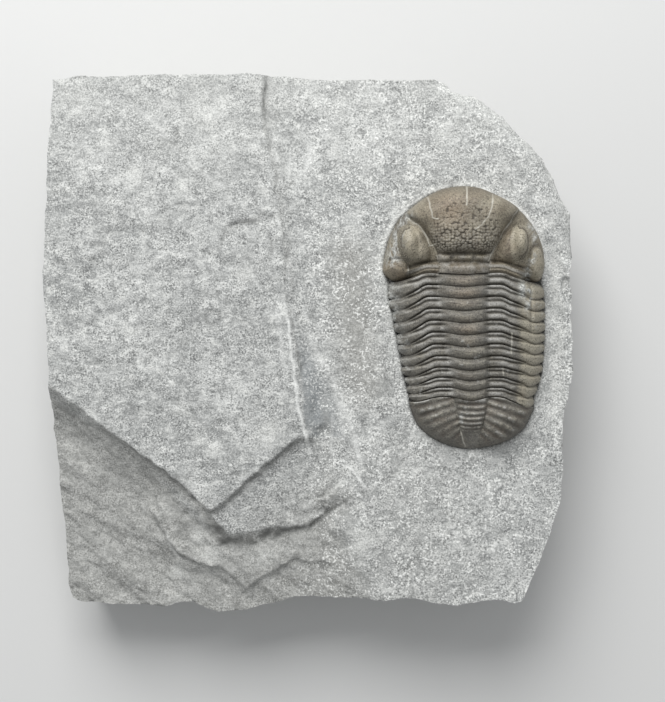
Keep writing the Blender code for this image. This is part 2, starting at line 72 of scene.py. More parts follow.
# Levels, from the solids: the fossil's flat underside gives the bedding plane
UNDERSIDE = -1.7
FACE_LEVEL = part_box("head_shield")[0].z / MM - UNDERSIDE
POCKET_DEPTH = 1.2

# Broken plates of the face, as heights over the bedding plane
UPPER_PLATE = 1.0
MIDDLE_PLATE = -0.3
MIDDLE_TILT = (0.05, 0.05)
LOWER_PLATE = -2.2
LOWER_TILT = 0.08
FOOT_OF_FACE = -3.4
FOOT_START = (-18.0, -31.6)
FOOT_FALLS_TO = (-0.61, -0.79)
FOOT_SLOPE = 0.12
FOOT_DROP = 6.0
TROUGH_DEPTH = 1.0
CHANNEL_STEP = 0.25
SCALLOP_DEPTH = 0.40
CHIP_DEPTH = 2.4
CHIP_REACH = 2.6

# Outline of the slab, clockwise from its upper left corner
SLAB_OUTLINE = [
    (-48.5, 50.4), (-44.4, 51.0), (-27.3, 51.4), (-12.1, 51.6), (-4.5, 51.2), (1.2, 50.6),
    (24.0, 50.6), (26.3, 50.1), (27.1, 48.4), (31.6, 47.6), (33.5, 46.5), (37.3, 43.8),
    (39.2, 41.3), (42.1, 38.7), (44.9, 35.6), (46.8, 32.4), (47.8, 29.2), (50.1, 25.4),
    (50.45, 16.8), (49.7, 14.0), (50.3, 9.2), (49.9, 6.4), (50.4, 0.7), (50.3, -5.0),
    (49.3, -10.7), (48.4, -14.5), (48.5, -24.0), (48.0, -29.7), (46.1, -35.4), (44.1, -41.0),
    (41.5, -46.8), (40.6, -48.7), (39.2, -49.1), (34.5, -48.4), (27.8, -49.5), (24.0, -49.1),
    (20.2, -48.0), (14.5, -48.7), (6.9, -48.7), (-2.6, -48.4), (-6.4, -49.7), (-12.1, -51.2),
    (-17.8, -51.6), (-19.7, -51.0), (-22.5, -49.7), (-25.4, -49.9), (-28.2, -50.8),
    (-38.7, -50.4), (-44.4, -50.1), (-46.3, -49.3), (-47.0, -46.5), (-47.4, -37.9),
    (-48.4, -27.5), (-48.7, -20.8), (-49.5, -16.1), (-49.5, -8.5), (-49.3, -3.1),
    (-50.3, 9.6), (-50.45, 14.0), (-49.9, 24.8), (-49.5, 37.1), (-48.7, 46.3),
]
FACE_CORNERS = [(-48.5, 50.4), (44.9, 35.6), (40.6, -48.7), (-46.3, -49.3)]
RIM_SPACING = 3.4
RIM_CHIP = 0.15
# Courses of the broken walls: share of the height, depth behind the rim, and roughness
COURSES = [(0.80, 0.5, 0.35), (0.52, 1.3, 0.6), (0.24, 0.9, 0.5), (0.07, 1.7, 0.5), (0.0, 3.4, 0.7)]

# Edges of the broken plates, each with its plate on the left of the way it runs
UPPER_EDGE = [
    (-54.0, -6.0), (-49.5, -7.5), (-42.5, -12.3), (-37.7, -16.1), (-30.1, -21.8), (-24.4, -25.9),
    (-18.1, -31.6), (-13.0, -27.1), (-7.3, -21.8), (-1.6, -17.4), (0.0, -17.2), (-0.9, -10.4),
    (-2.0, -0.9), (-2.9, 6.7), (-4.7, 18.1), (-6.0, 27.6), (-7.3, 37.1), (-8.6, 41.0),
    (-8.6, 56.0),
]
UPPER_TIP = UPPER_EDGE[6]
MIDDLE_EDGE = [
    (-19.5, -30.0), (-17.8, -33.6), (-15.3, -35.9), (-12.5, -35.9), (-8.0, -34.8), (-3.5, -34.6),
    (0.3, -34.0), (6.9, -29.4), (9.4, -26.5), (8.6, -20.0),
]
LOWER_EDGE = [
    (-29.5, -32.0), (-27.3, -37.0), (-24.4, -40.8), (-16.8, -42.7), (-12.1, -46.5), (-9.2, -44.6),
    (-3.5, -40.8), (6.0, -41.5), (14.0, -46.0), (17.0, -55.0),
]
BEDDING_EDGE = [
    (19.0, -56.0), (15.0, -44.0), (11.0, -34.0), (9.3, -26.2), (8.2, -20.0), (6.9, -10.4),
    (4.1, -5.0), (-0.7, 3.0), (-2.4, 8.7), (-3.5, 23.8), (-2.9, 37.1), (-4.0, 56.0),
]
SCALLOP_EDGE = [(-16.4, 20.0), (-13.0, 22.9), (-8.9, 23.5), (-6.6, 24.6)]
# Corners that close each of them on its plate's side
UPPER_BACK = [(-56.0, 56.0)]
MIDDLE_BACK = [(0.0, 0.0), (-10.0, -10.0)]
LOWER_BACK = [(30.0, -56.0), (30.0, 0.0), (-29.0, -20.0)]
BEDDING_BACK = [(56.0, 56.0), (56.0, -56.0)]
SCALLOP_BACK = [(-5.5, 14.0), (-17.0, 12.0)]
CHANNEL = UPPER_EDGE[9:] + [(20.0, 56.0), (20.0, -18.0)]
# Run of the rim that is chipped, and painted pale there as a highlight on its bevel
CHIPPED_RIM = [(26.0, 51.0), (33.0, 47.2), (38.2, 42.8), (45.0, 35.8), (50.0, 25.4), (50.6, 17.0)]

# Fossil, in plan
HEAD_TOP = 29.9
HEAD_MIDLINE = 28.7
TAIL_MIDLINE = 30.1
HEAD_BACK = 16.5
SEGMENTS = 11
SEGMENT_PITCHES = [2.2] * 7 + [2.1] + [1.87] * 3
TAIL_FRONT = HEAD_BACK + sum(SEGMENT_PITCHES)
TAIL_LENGTH = 9.8
TAIL_CORNER = 3.0
TAIL_HALF_WIDTHS = (10.4, 11.9)
MARK_STATIONS = [-3.0, -2.0, -1.0, 1.0, 2.0, 3.0]

# Outline of the head: station, across and back
HEAD_RIM = [
    (-3.0, -14.6, 14.9), (-2.5, -14.2, 12.6), (-2.0, -13.5, 9.9), (-1.5, -12.2, 7.2),
    (-1.0, -10.5, 5.0), (-0.75, -8.2, 3.1), (-0.55, -6.3, 1.8), (-0.3, -3.7, 0.6), (0.0, 0.0, 0.0),
    (0.3, 3.4, 0.4), (0.55, 6.1, 1.5), (0.75, 8.6, 2.7), (1.0, 10.8, 4.1), (1.5, 12.85, 6.2),
    (2.0, 14.5, 8.7), (2.5, 15.6, 11.8), (3.0, 15.95, 14.7),
]
# Furrows beside the glabella: back, and across on the left and on the right
GLABELLA_SIDES = [
    (0.0, -15.0, 15.0), (4.6, -11.6, 10.7), (6.0, -9.7, 9.3), (7.8, -7.8, 8.0), (9.1, -6.9, 7.3),
    (10.9, -5.8, 6.3), (12.3, -5.0, 5.6), (13.5, -4.6, 5.1), (17.0, -4.55, 4.55),
]
# Tips of the thorax: back, and distance from the midline
LEFT_TIPS = [
    (15.6, 14.8), (17.8, 13.7), (20.5, 13.6), (24.0, 13.1), (28.3, 12.7), (33.4, 12.2),
    (36.6, 11.8), (40.0, 10.9),
]
RIGHT_TIPS = [
    (15.0, 15.6), (17.6, 15.4), (20.0, 16.0), (22.0, 16.1), (26.0, 15.8), (28.6, 15.5),
    (33.0, 14.7), (36.3, 13.9), (40.0, 12.6),
]
# How far the joints are swept back at the tips: number of the joint, and sweep
LEFT_SWEEPS = [(0, 1.6), (1, 2.5), (3, 2.5), (6, 2.2), (9, 1.6), (11, 1.0)]
RIGHT_SWEEPS = [(0, 1.8), (1, 2.4), (4, 2.1), (6, 1.6), (8, 1.25), (11, 1.9)]

# Fossil, as heights over the bedding plane
AXIS_HEIGHT = 8.6
CROWN_PROFILE = [
    (0.0, 10.4), (6.0, 10.6), (9.5, 10.4), (11.5, 9.8), (12.3, 8.9), (12.75, 7.6), (13.1, 7.5),
    (13.55, 8.1), (14.05, 8.0), (14.45, 7.2), (14.7, 7.3), (15.2, 8.5), (16.1, 8.8), (16.9, 8.3),
]
# Lumps of the cheeks: middle, half sizes, lean of the middle and of the width with the way back, top
EYE_LUMPS = [
    ((-8.7, 11.2), (3.25, 4.0), 0.19, 0.07, 8.1),
    ((-9.85, 11.0), (2.25, 3.7), 0.12, 0.02, 8.9),
    ((9.15, 11.2), (3.2, 4.0), -0.18, 0.08, 8.1),
    ((10.4, 10.9), (2.0, 3.6), -0.03, 0.02, 9.4),
]
# Shape of an upper eye lump's dome: power of the radius, and round-off
EYE_DOME = (2.4, 0.55)
GENAL_LUMPS = [
    ((-12.45, 16.0), (2.5, 1.95), 0.0, 0.0, 4.8),
    ((14.0, 14.8), (1.65, 3.1), 0.0, 0.05, 4.8),
]
# Furrows beside the glabella: back, and height
FURROW_PROFILE = [(4.0, 6.6), (6.0, 7.1), (12.5, 6.9), (14.5, 6.8), (16.9, 6.9)]
CHEEK_HEIGHT = 5.6
# Rise to the right of the whole fossil, and height of its rim on both sides
ROLL = 0.07
LEFT_EDGE = 0.2
RIGHT_EDGE = 0.5

# Tail: its ribs follow one another along the axis, each more swept back than the one in front
RIB_START = 38.45
RIB_PITCH = 1.17
RIB_SLOPE = 0.28
RIB_SLOPE_GROWTH = 0.24
# Half width of the tail's axis at places back
TAIL_AXIS_HALVES = [(39.5, 3.15), (42.6, 2.6), (44.4, 2.2), (46.2, 1.8), (47.4, 1.6), (49.5, 1.5)]
# Grains of stone on the tail, on the face, with their radius
TAIL_STONE_DOTS = [(28.4, -13.2, 0.35), (28.5, -14.2, 0.3)]
# Crests of the rings on the tail's axis, as places back
TAIL_RING_BACKS = [40.0, 41.2, 42.35, 43.35, 44.25, 45.05, 45.75, 46.4, 47.0]


def clamp(value):
    """The value, kept from 0 to 1."""
    return np.clip(value, 0.0, 1.0)


def ease(value):
    """Smooth step from 0 to 1."""
    t = clamp(value)
    return t * t * (3.0 - 2.0 * t)


def beyond(value, start, width):
    """0 up to a start and 1 from a width past it, eased between."""
    return ease((value - start) / width)


def short_of(value, end, width):
    """1 up to a width before an end and 0 from the end on, eased between."""
    return ease((end - value) / width)


def bell(value, width):
    """1 where the value is 0, falling off on both sides over some width."""
    return np.exp(-(value / width) ** 2)


def noise(x, y, size, seed):
    """Random values from -1 to 1 on the corners of a square lattice of some size, eased between."""
    table = np.random.default_rng(seed).uniform(-1.0, 1.0, (128, 128))
    u, v = x / size, y / size
    i, j = np.floor(u).astype(int), np.floor(v).astype(int)
    a, b = ease(u - i), ease(v - j)
    i0, i1, j0, j1 = i % 128, (i + 1) % 128, j % 128, (j + 1) % 128
    near = table[i0, j0] + a * (table[i1, j0] - table[i0, j0])
    far = table[i0, j1] + a * (table[i1, j1] - table[i0, j1])
    return near + b * (far - near)


def rough(x, y, size, seed, octaves=4, fade=0.5):
    """Sum of noises, each half the size of the last, turned against it, and fainter."""
    total, weight = 0.0, 1.0
    for k in range(octaves):
        turn = 0.6 + 1.1 * k
        u = x * math.cos(turn) - y * math.sin(turn)
        v = x * math.sin(turn) + y * math.cos(turn)
        total = total + weight * noise(u, v, size / 2 ** k, seed + k)
        weight *= fade
    return total


def cells(x, y, size, seed):
    """Distance to the nearest of the scattered middles of cells, one in each square of a lattice."""
    shift = np.random.default_rng(seed).uniform(0.15, 0.85, (128, 128, 2))
    u, v = x / size, y / size
    i, j = np.floor(u).astype(int), np.floor(v).astype(int)
    nearest = np.full(np.shape(u), 9.0)
    for di in (-1, 0, 1):
        for dj in (-1, 0, 1):
            middle = shift[(i + di) % 128, (j + dj) % 128]
            nearest = np.minimum(nearest, np.hypot(u - i - di - middle[..., 0], v - j - dj - middle[..., 1]))
    return nearest


def wandering(x, y, reach, size, seed):
    """Places shifted by noise, so that a line drawn on them wanders."""
    return x + reach * noise(x, y, size, seed), y + reach * noise(x, y, size, seed + 1)


def distance_to(x, y, line):
    """Distance from each place to an open line of straight runs."""
    nearest = np.full(np.shape(x), 1e9)
    for (ax, ay), (bx, by) in zip(line[:-1], line[1:]):
        run_x, run_y = bx - ax, by - ay
        along = clamp(((x - ax) * run_x + (y - ay) * run_y) / (run_x ** 2 + run_y ** 2))
        nearest = np.minimum(nearest, np.hypot(x - ax - along * run_x, y - ay - along * run_y))
    return nearest


def inside(x, y, polygon):
    """True where a place lies in a closed polygon, by counting its crossings."""
    within = np.zeros(np.shape(x), dtype=bool)
    for (ax, ay), (bx, by) in zip(polygon, polygon[1:] + polygon[:1]):
        if ay == by:
            continue
        crosses = ((ay > y) != (by > y)) & (x < ax + (y - ay) / (by - ay) * (bx - ax))
        within ^= crosses
    return within


def dome(radius, power=2.0, round_off=0.5):
    """1 in the middle of a rounded lump, 0 at a radius of 1 and beyond."""
    return (1.0 - clamp(radius) ** power) ** round_off


def blend_up(low, high, width):
    """The higher of two heights, with a soft corner of some width where they meet."""
    share = clamp(0.5 + 0.5 * (high - low) / width)
    return low + share * (high - low) + width * share * (1.0 - share)


def new_piece(name, points, faces, marks, finish, node, sharp=50.0):
    """A closed mesh from points in millimetres, with its marks as attributes, hung on the root body in place
    of a part, which it hides.
    """
    mesh = bpy.data.meshes.new(name)
    mesh.from_pydata((points * MM).tolist(), [], faces)
    build = bmesh.new()
    build.from_mesh(mesh)
    bmesh.ops.recalc_face_normals(build, faces=build.faces)
    build.to_mesh(mesh)
    build.free()
    mesh.shade_smooth()
    mesh.set_sharp_from_angle(angle=math.radians(sharp))
    for mark, values in marks.items():
        layer = mesh.attributes.new(mark, "FLOAT", "POINT")
        layer.data.foreach_set("value", values.astype(np.float32))
    mesh.materials.append(finish)
    piece = bpy.data.objects.new(name, mesh)
    bpy.context.scene.collection.objects.link(piece)
    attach(piece, "root")
    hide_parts(node)
    return piece


def quads(index):
    """Faces between the rows and columns of a grid of point numbers."""
    near, far = index[:-1], index[1:]
    return np.stack([near[:, :-1], far[:, :-1], far[:, 1:], near[:, 1:]], axis=-1).reshape(-1, 4).tolist()


def edge_of(index):
    """Point numbers round the edge of a grid, starting at its first corner along its first row."""
    return np.concatenate([index[0, :-1], index[:-1, -1], index[-1, :0:-1], index[:0:-1, 0]])


def band(upper, lower):
    """Faces between two closed rings of point numbers, the lower one as long or half as long."""
    upper_next, lower_next = np.roll(upper, -1), np.roll(lower, -1)
    if len(upper) == len(lower):
        return np.stack([upper, upper_next, lower_next, lower], axis=-1).tolist()
    middles = upper[1::2]
    return np.stack([upper[::2], middles, np.roll(upper[::2], -1), lower_next, lower], axis=-1).tolist()


def resample(line, spacing, closed=False):
    """Points along straight runs, with each run cut in equal lengths no longer than the spacing."""
    points = []
    ends = line[1:] + line[:1] if closed else line[1:]
    for (ax, ay), (bx, by) in zip(line, ends):
        count = max(1, math.ceil(math.hypot(bx - ax, by - ay) / spacing))
        points += [(ax + (bx - ax) * k / count, ay + (by - ay) * k / count) for k in range(count)]
    return points if closed else points + [line[-1]]


def outward(loop):
    """Unit normals of a clockwise loop, pointing away from what it surrounds."""
    points = np.array(loop)
    run = np.roll(points, -1, axis=0) - np.roll(points, 1, axis=0)
    normal = np.stack([-run[:, 1], run[:, 0]], axis=1)
    return normal / np.linalg.norm(normal, axis=1)[:, None]


def slab_rim():
    """The slab's outline in short runs, whose new corners are broken back a little."""
    rim = resample(SLAB_OUTLINE, RIM_SPACING, closed=True)
    given = set(SLAB_OUTLINE)
    depth = RIM_CHIP * (1.0 + 0.6 * np.sin(1.7 * np.arange(len(rim))))
    broken = np.array(rim) - depth[:, None] * outward(rim)
    return [p if p in given else tuple(q) for p, q in zip(rim, broken)]


def smooth_run(table, column, at):
    """Smooth curve through a column of a table, read at places along the table's first column.

    Each stretch is a cubic whose slopes at both ends come from its neighbours.
    """
    rows = np.array(table)
    knots, values = rows[:, 0], rows[:, column]
    slopes = np.gradient(values, knots)
    k = np.clip(np.searchsorted(knots, at, side="right") - 1, 0, len(knots) - 2)
    step, rise = knots[k + 1] - knots[k], values[k + 1] - values[k]
    t = clamp((at - knots[k]) / step)
    start, end = slopes[k] * step, slopes[k + 1] * step
    return values[k] + t * start + t ** 2 * (3 * rise - 2 * start - end) + t ** 3 * (start + end - 2 * rise)


def midline(back):
    """Place of the fossil's midline on the face: it leans to the right, from head to tail."""
    return HEAD_MIDLINE + (TAIL_MIDLINE - HEAD_MIDLINE) * beyond(back, 20.0, 18.0)


def place(across, back):
    """Plan of the fossil to the face of the slab."""
    return midline(back) + across, HEAD_TOP - back


def marks_at(back):
    """Left tip, left fulcrum, left furrow, right furrow, right fulcrum and right tip, across."""
    share = clamp((back - 17.0) / 22.6)
    axis = 4.55 - 1.45 * share
    left_tip, right_tip = smooth_run(LEFT_TIPS, 1, back), smooth_run(RIGHT_TIPS, 1, back)
    return [-left_tip, -8.3 + 1.0 * share, -axis, axis, 8.9 - 1.6 * share, right_tip]


def across_at(station, back):
    """Distance from the midline at a station."""
    marks = marks_at(back)
    across = marks[0]
    for k, (start, end) in enumerate(zip(MARK_STATIONS[:-1], MARK_STATIONS[1:])):
        share = clamp((station - start) / (end - start))
        across = across + share * (marks[k + 1] - marks[k])
    return across


def flank_edge(station):
    """Height of the fossil's rim, a little higher on its right."""
    return LEFT_EDGE + (RIGHT_EDGE - LEFT_EDGE) * clamp(0.5 + station / 2.0)


def arch(station, back):
    """Height of the thorax's cross section: round axis, flat inner and steep outer flanks."""
    way = np.abs(station)
    top = AXIS_HEIGHT - 1.5 * beyond(back, 26.0, 16.0)
    furrow, shoulder = top - 1.7, top - 2.1
    ring = furrow + 1.7 * dome(way / 1.08, 2.4, 0.55)
    inner = furrow + (shoulder - furrow) * clamp(way - 1.0) + 0.35 * np.sin(np.pi * clamp(way - 1.0))
    tilt = ROLL * across_at(np.clip(station, -2.0, 2.0), back)
    edge = flank_edge(station)
    outer = edge + (shoulder + tilt - edge) * dome(way - 2.0, 1.7, 0.75)
    inner = ring + beyond(way, 0.75, 0.5) * (inner - ring)
    return np.where(way < 2.0, inner + tilt, outer)


def joint_back(number, station):
    """Where the joint after a segment runs: bowed back on the axis and swept back on the flanks."""
    back = HEAD_BACK + sum(SEGMENT_PITCHES[:number])
    way = np.abs(station)
    bow = (0.19 + 0.012 * number) * (1.0 + np.cos(np.pi * clamp(way / 1.25)))
    left, right = np.interp(number, *zip(*LEFT_SWEEPS)), np.interp(number, *zip(*RIGHT_SWEEPS))
    return back + bow + np.where(station > 0.0, right, left) * beyond(way, 1.52, 1.25)


def head_rim(station):
    """Place on the head's outline at a station."""
    return smooth_run(HEAD_RIM, 1, station), smooth_run(HEAD_RIM, 2, station)


def tail_rim(angle):
    """Place on the tail's outline, at an angle from -90 degrees, its left end, to 90."""
    share = np.sin(angle)
    width = np.where(share > 0, TAIL_HALF_WIDTHS[1], TAIL_HALF_WIDTHS[0])
    power = np.where(share > 0, 2.0, 1.7)
    reach = (1.0 - np.abs(share) ** power) ** (1.0 / power)
    return width * share, TAIL_FRONT + TAIL_CORNER + (TAIL_LENGTH - TAIL_CORNER) * reach


def fossil_outline():
    """Outline of the fossil on the face, clockwise."""
    front = head_rim(np.linspace(-3.0, 3.0, 73))
    backs = np.linspace(17.6, 41.6, 25)
    right = (marks_at(backs)[-1], backs)
    rear = tail_rim(np.radians(np.linspace(81.0, -81.0, 41)))
    left = (marks_at(backs[::-1])[0], backs[::-1])
    runs = [front, right, rear, left]
    x, y = place(np.concatenate([run[0] for run in runs]), np.concatenate([run[1] for run in runs]))
    return list(zip(x.tolist(), y.tolist()))


# Lines that show on the face as colour, as runs of places: width and strength come first
PALE_LINES = [
    (0.24, 0.85, [(-3.9, 5.0), (-3.2, -0.9), (-2.2, -10.2), (-1.0, -15.5), (0.2, -20.4)]),
    (0.60, 0.35, [(-5.7, 7.0), (-5.4, 1.3), (-4.2, -6.0)]),
    (0.55, 0.35, [(-0.7, 6.5), (0.6, 1.0), (3.6, -4.7), (6.3, -10.4), (6.6, -17.0)]),
    (0.20, 0.45, [(4.6, -13.0), (4.2, -20.0)]),
    (0.60, 0.45, [(5.0, -9.5), (8.4, -16.0), (9.8, -22.0)]),
    (0.50, 0.22, [(-37.0, 47.0), (-30.4, 43.5), (-26.8, 39.4), (-24.0, 36.4)]),
    (0.40, 0.38, [(-24.0, 36.4), (-20.9, 34.2), (-18.4, 31.6), (-15.9, 29.7)]),
    (0.30, 0.40, [(-15.5, 28.4), (-13.7, 25.8)]),
    (0.20, 0.65, [(-3.6, 37.6), (-3.7, 34.7), (-3.7, 31.1)]),
    (0.20, 0.60, [(-6.35, 36.6), (-5.9, 35.0)]),
    (0.60, 0.45, [(-0.1, 39.3), (-0.1, 34.0), (-2.4, 30.1)]),
    (0.20, 0.90, [(-6.3, 24.4), (-5.5, 23.2), (-5.3, 20.9)]),
    (0.30, 0.60, [(-10.6, 13.6), (-9.0, 10.8)]),
    (0.24, 0.90, [(6.9, -21.8), (8.8, -24.2), (10.9, -26.9)]),
    (0.22, 0.60, [(1.3, -32.5), (3.4, -30.8), (5.3, -28.7)]),
    (0.26, 0.60, [(-27.4, -35.9), (-26.6, -38.5), (-25.1, -40.7)]),
]
# Fine cracks, and lines of painted shade under ledges: width, strength and places
DARK_LINES = [
    (0.16, 0.80, [(-8.0, 51.0), (-8.5, 46.5), (-8.5, 43.0)]),
    (0.16, 0.60, [(-26.4, 38.6), (-25.2, 38.1), (-24.0, 36.4)]),
    (0.15, 0.60, [(-9.8, 27.4), (-10.0, 26.4)]),
    (0.22, 0.75, [(-7.1, 20.0), (-6.8, 18.0), (-7.6, 16.3)]),
    # Painted shade under the scallop's small ledge, in this line and the next
    (0.50, 0.85, [(-16.5, 20.3), (-14.9, 22.2), (-13.9, 22.9)]),
    (0.26, 0.80, [(-13.9, 22.9), (-12.9, 23.4), (-9.8, 23.6), (-9.0, 24.9), (-7.0, 24.4)]),
    # Painted shadow along the channel's side
    (0.30, 0.70, [(-3.4, 19.3), (-4.4, 15.4), (-4.4, 9.8), (-3.4, 5.9), (-2.6, 1.3), (-1.2, -6.0)]),
    (0.30, 0.35, [(-6.0, 44.0), (-4.6, 41.0), (-3.1, 39.5)]),
    (0.20, 0.45, [(-5.9, 33.5), (-6.3, 29.0), (-6.9, 26.0)]),
]


# Features of the face that lie by themselves: outlines, and places with a radius
FLAKE_SCAR = [(47.8, 12.2), (48.7, 13.4), (51.5, 12.6), (51.5, 7.0), (49.0, 7.2), (48.0, 9.5)]
FLAKE_RIM = [(46.8, 13.6), (47.3, 11.0), (47.1, 8.5), (46.7, 6.9)]
SPLINTERED = (3.4, -29.8, 3.6)
PITS = [
    (-24.8, -25.0, 0.45), (-23.4, -26.6, 0.45), (-25.3, -28.3, 0.4), (-21.9, -28.9, 0.45),
    (-31.4, 21.6, 0.5), (-40.8, 16.2, 0.5), (-20.1, 33.2, 0.35), (-24.9, 40.2, 0.5),
]
RING_MARK = (-18.1, 5.2, 1.35)
PALE_PATCHES = [
    (-23.5, 29.9, 2.2), (-33.9, 32.4, 2.2), (-44.0, 47.0, 4.5), (-20.0, 44.5, 5.5), (-39.0, 38.0, 2.0),
    (-12.0, 13.0, 1.6), (25.0, 40.0, 3.0), (-34.0, 3.0, 1.6), (-20.2, -18.2, 1.5), (-17.9, -19.7, 1.5),
    (-7.5, -17.0, 2.4), (-24.8, -12.0, 1.6), (-20.5, -36.4, 1.6), (-25.2, -44.0, 2.0), (10.0, -37.5, 3.0),
    (-18.5, -40.6, 2.6), (-8.5, -40.2, 2.6),
]


def terraces(value, step, rising=0.3):
    """A value cut into flat steps, each with a short rise at its end."""
    number = np.floor(value / step)
    return step * (number + ease((value / step - number - 1.0 + rising) / rising))


def riser(away, width, foot, reach):
    """Height left at a distance from a broken edge: a steep face, then a share of it as a long foot."""
    return (1.0 - foot) * clamp(1.0 - away / width) ** 1.2 + foot * clamp(1.0 - away / reach) ** 1.5


def rises_of(value, step):
    """1 on the rises between the flat steps that a value is cut into, 0 on the steps."""
    return bell((value / step) % 1.0 - 0.82, 0.13)


def uneven_places(x, y):
    """Places shifted by noises of two sizes, so that the edges drawn on them are uneven."""
    return [value + 0.26 * noise(x, y, 3.4, seed) + 0.22 * noise(x, y, 1.2, seed + 1)
            for value, seed in ((x, 41), (y, 43))]


def low_layers(x, y, edge_x, edge_y):
    """Height, broken fronts, and dark cracks and painted shade of the foot of the face and its two thin
    layers.

    The foot falls away from a start at its own slope. A layer is a plane within its edge. Outside it,
    an uneven riser takes the height down to what lies below. A dark line just under each edge is crack
    and painted shade, and a dark band on the slope below, where the riser is wide, is a painted shadow.
    """
    fall = FOOT_FALLS_TO[0] * (x - FOOT_START[0]) + FOOT_FALLS_TO[1] * (y - FOOT_START[1])
    level = FOOT_OF_FACE - np.clip(fall * FOOT_SLOPE, 0.0, FOOT_DROP)
    right, up = np.maximum(x - UPPER_TIP[0], 0.0), y - UPPER_TIP[1]
    middle = MIDDLE_PLATE - MIDDLE_TILT[0] * right + MIDDLE_TILT[1] * up
    lower = LOWER_PLATE - LOWER_TILT * distance_to(x, y, MIDDLE_EDGE)
    layers = [
        (lower, LOWER_EDGE, LOWER_BACK, 0.55, 0.6),
        (middle, MIDDLE_EDGE, MIDDLE_BACK, 0.8 + 1.9 * short_of(x, 1.0, 11.0), 0.15),
    ]
    uneven = clamp(0.5 + 0.9 * rough(x, y, 3.2, 48, 3))
    fronts, cracks_and_shade = np.zeros_like(x), np.zeros_like(x)
    for height, edge, back, width, foot in layers:
        over = inside(edge_x, edge_y, edge + back)
        away = distance_to(edge_x, edge_y, edge)
        front = (0.4 + 0.6 * uneven) * bell(away / width - 0.3, 0.7)
        # Painted shadow: a dark band on the slope below the middle plate's edge, where its riser is wide
        shadow = 1.25 * beyond(width, 0.6, 0.15) * bell(away / width - 0.45, 0.5) * (0.8 + 0.3 * uneven)
        # Dark line just under the edge, crack and painted shade, joined with the painted shadow
        crack_and_shadow = np.maximum(0.55 * uneven * bell(away - 0.15, 0.22), shadow * beyond(x, -20.0, 3.0))
        fronts = np.where(over, 0.0, np.maximum(fronts, front))
        cracks_and_shade = np.where(over, 0.0, np.maximum(cracks_and_shade, crack_and_shadow))
        wide = width * (0.75 + 0.5 * uneven)
        level = level + np.where(over, 1.0, riser(away, wide, foot, 5.0 * width)) * (height - level)
    return level, fronts, cracks_and_shade


def face_levels(x, y):
    """Height of the face over the bedding plane, with its broken fronts, plates, and dark cracks and painted
    shade.

    From the lowest up, these are the foot and its layers, the channel, the bedding plane that the
    fossil lies on, and the upper plate. Each covers the last within its edge and runs out past it.
    """
    edge_x, edge_y = uneven_places(x, y)
    level, fronts, cracks_and_shade = low_layers(x, y, edge_x, edge_y)

    channel = inside(edge_x, edge_y, CHANNEL)
    trough = -TROUGH_DEPTH * short_of(y, 20.0, 22.0) - CHANNEL_STEP
    level = level + channel * beyond(y, -20.5, 3.0) * (trough - level)

    over = inside(edge_x, edge_y, BEDDING_EDGE + BEDDING_BACK)
    away = distance_to(edge_x, edge_y, BEDDING_EDGE)
    bedding = ease(np.where(over, 1.0, 1.0 - away / (4.5 + 6.0 * short_of(y, -24.0, 12.0))))
    level = level - bedding * level
    fronts, cracks_and_shade = fronts * (1.0 - bedding ** 2), cracks_and_shade * (1.0 - bedding ** 2)

    over = inside(edge_x, edge_y, UPPER_EDGE + UPPER_BACK)
    away = distance_to(edge_x, edge_y, UPPER_EDGE)
    low_side, left_arm = short_of(y, -14.5, 2.0), short_of(x, -17.5, 3.0)
    width = 0.5 + 2.1 * (1.0 - low_side) + 1.4 * beyond(x, -3.0, 3.0) + 0.3 * left_arm
    front = bell(away / (1.0 + 1.6 * left_arm) - 0.3, 0.7) * (0.2 + 0.3 * low_side + 0.3 * left_arm)
    ragged = clamp(0.55 + 1.1 * rough(x, y, 1.6, 47, 2)) * low_side * short_of(x, 0.8, 2.5)
    fronts = np.where(over, 0.0, np.maximum(fronts, front))
    # Dark line just under the upper plate's edge: crack and painted shade of its riser
    cracks_and_shade = np.where(over, 0.0, np.maximum(cracks_and_shade, bell(away - 0.12, 0.2) * ragged))
    share = np.where(over, 1.0, riser(away, width, 0.12 + 0.58 * left_arm, 4.0 + 3.5 * left_arm))
    level = level + share * (UPPER_PLATE - level)

    dish = np.exp(-distance_to(edge_x, edge_y, SCALLOP_EDGE) / 4.0)
    dish = dish * inside(edge_x, edge_y, SCALLOP_EDGE + SCALLOP_BACK)
    waves = 0.14 * np.sin(0.21 * x + 0.4) * np.cos(0.17 * y - 0.9)
    groove = bell(x + 7.6, 1.3) * beyond(y, 27.0, 6.0) * ~over
    chipped = clamp(1.0 - distance_to(x, y, CHIPPED_RIM) / CHIP_REACH) ** 1.4
    level = level - SCALLOP_DEPTH * dish + waves - 0.4 * groove - CHIP_DEPTH * chipped
    # Painted shade in the groove along the top of the upper plate's edge, darker in streaks
    cracks_and_shade = np.maximum(cracks_and_shade, 0.2 * groove * (0.6 + 0.6 * noise(1.5 * x, 0.3 * y, 1.0, 46)))
    plates = {"upper": over, "channel": channel & ~over, "bedding": bedding}
    return level, fronts, cracks_and_shade, plates


def swell_beside_fossil(x, y):
    """Stone left against the fossil's left flank, and the moat cut along its right one."""
    left = bell(x - 13.9, 2.4) * short_of(y, 18.0, 6.0) * beyond(y, -16.0, 8.0)
    right = bell(x - 46.8, 1.9) * short_of(y, 26.0, 8.0) * beyond(y, -16.0, 8.0)
    return 0.7 * left - 0.9 * right


def from_fossil(x, y):
    """Distance from the fossil's outline, negative inside it."""
    outline = fossil_outline()
    away = distance_to(x, y, outline + outline[:1])
    return np.where(inside(x, y, outline), -away, away)


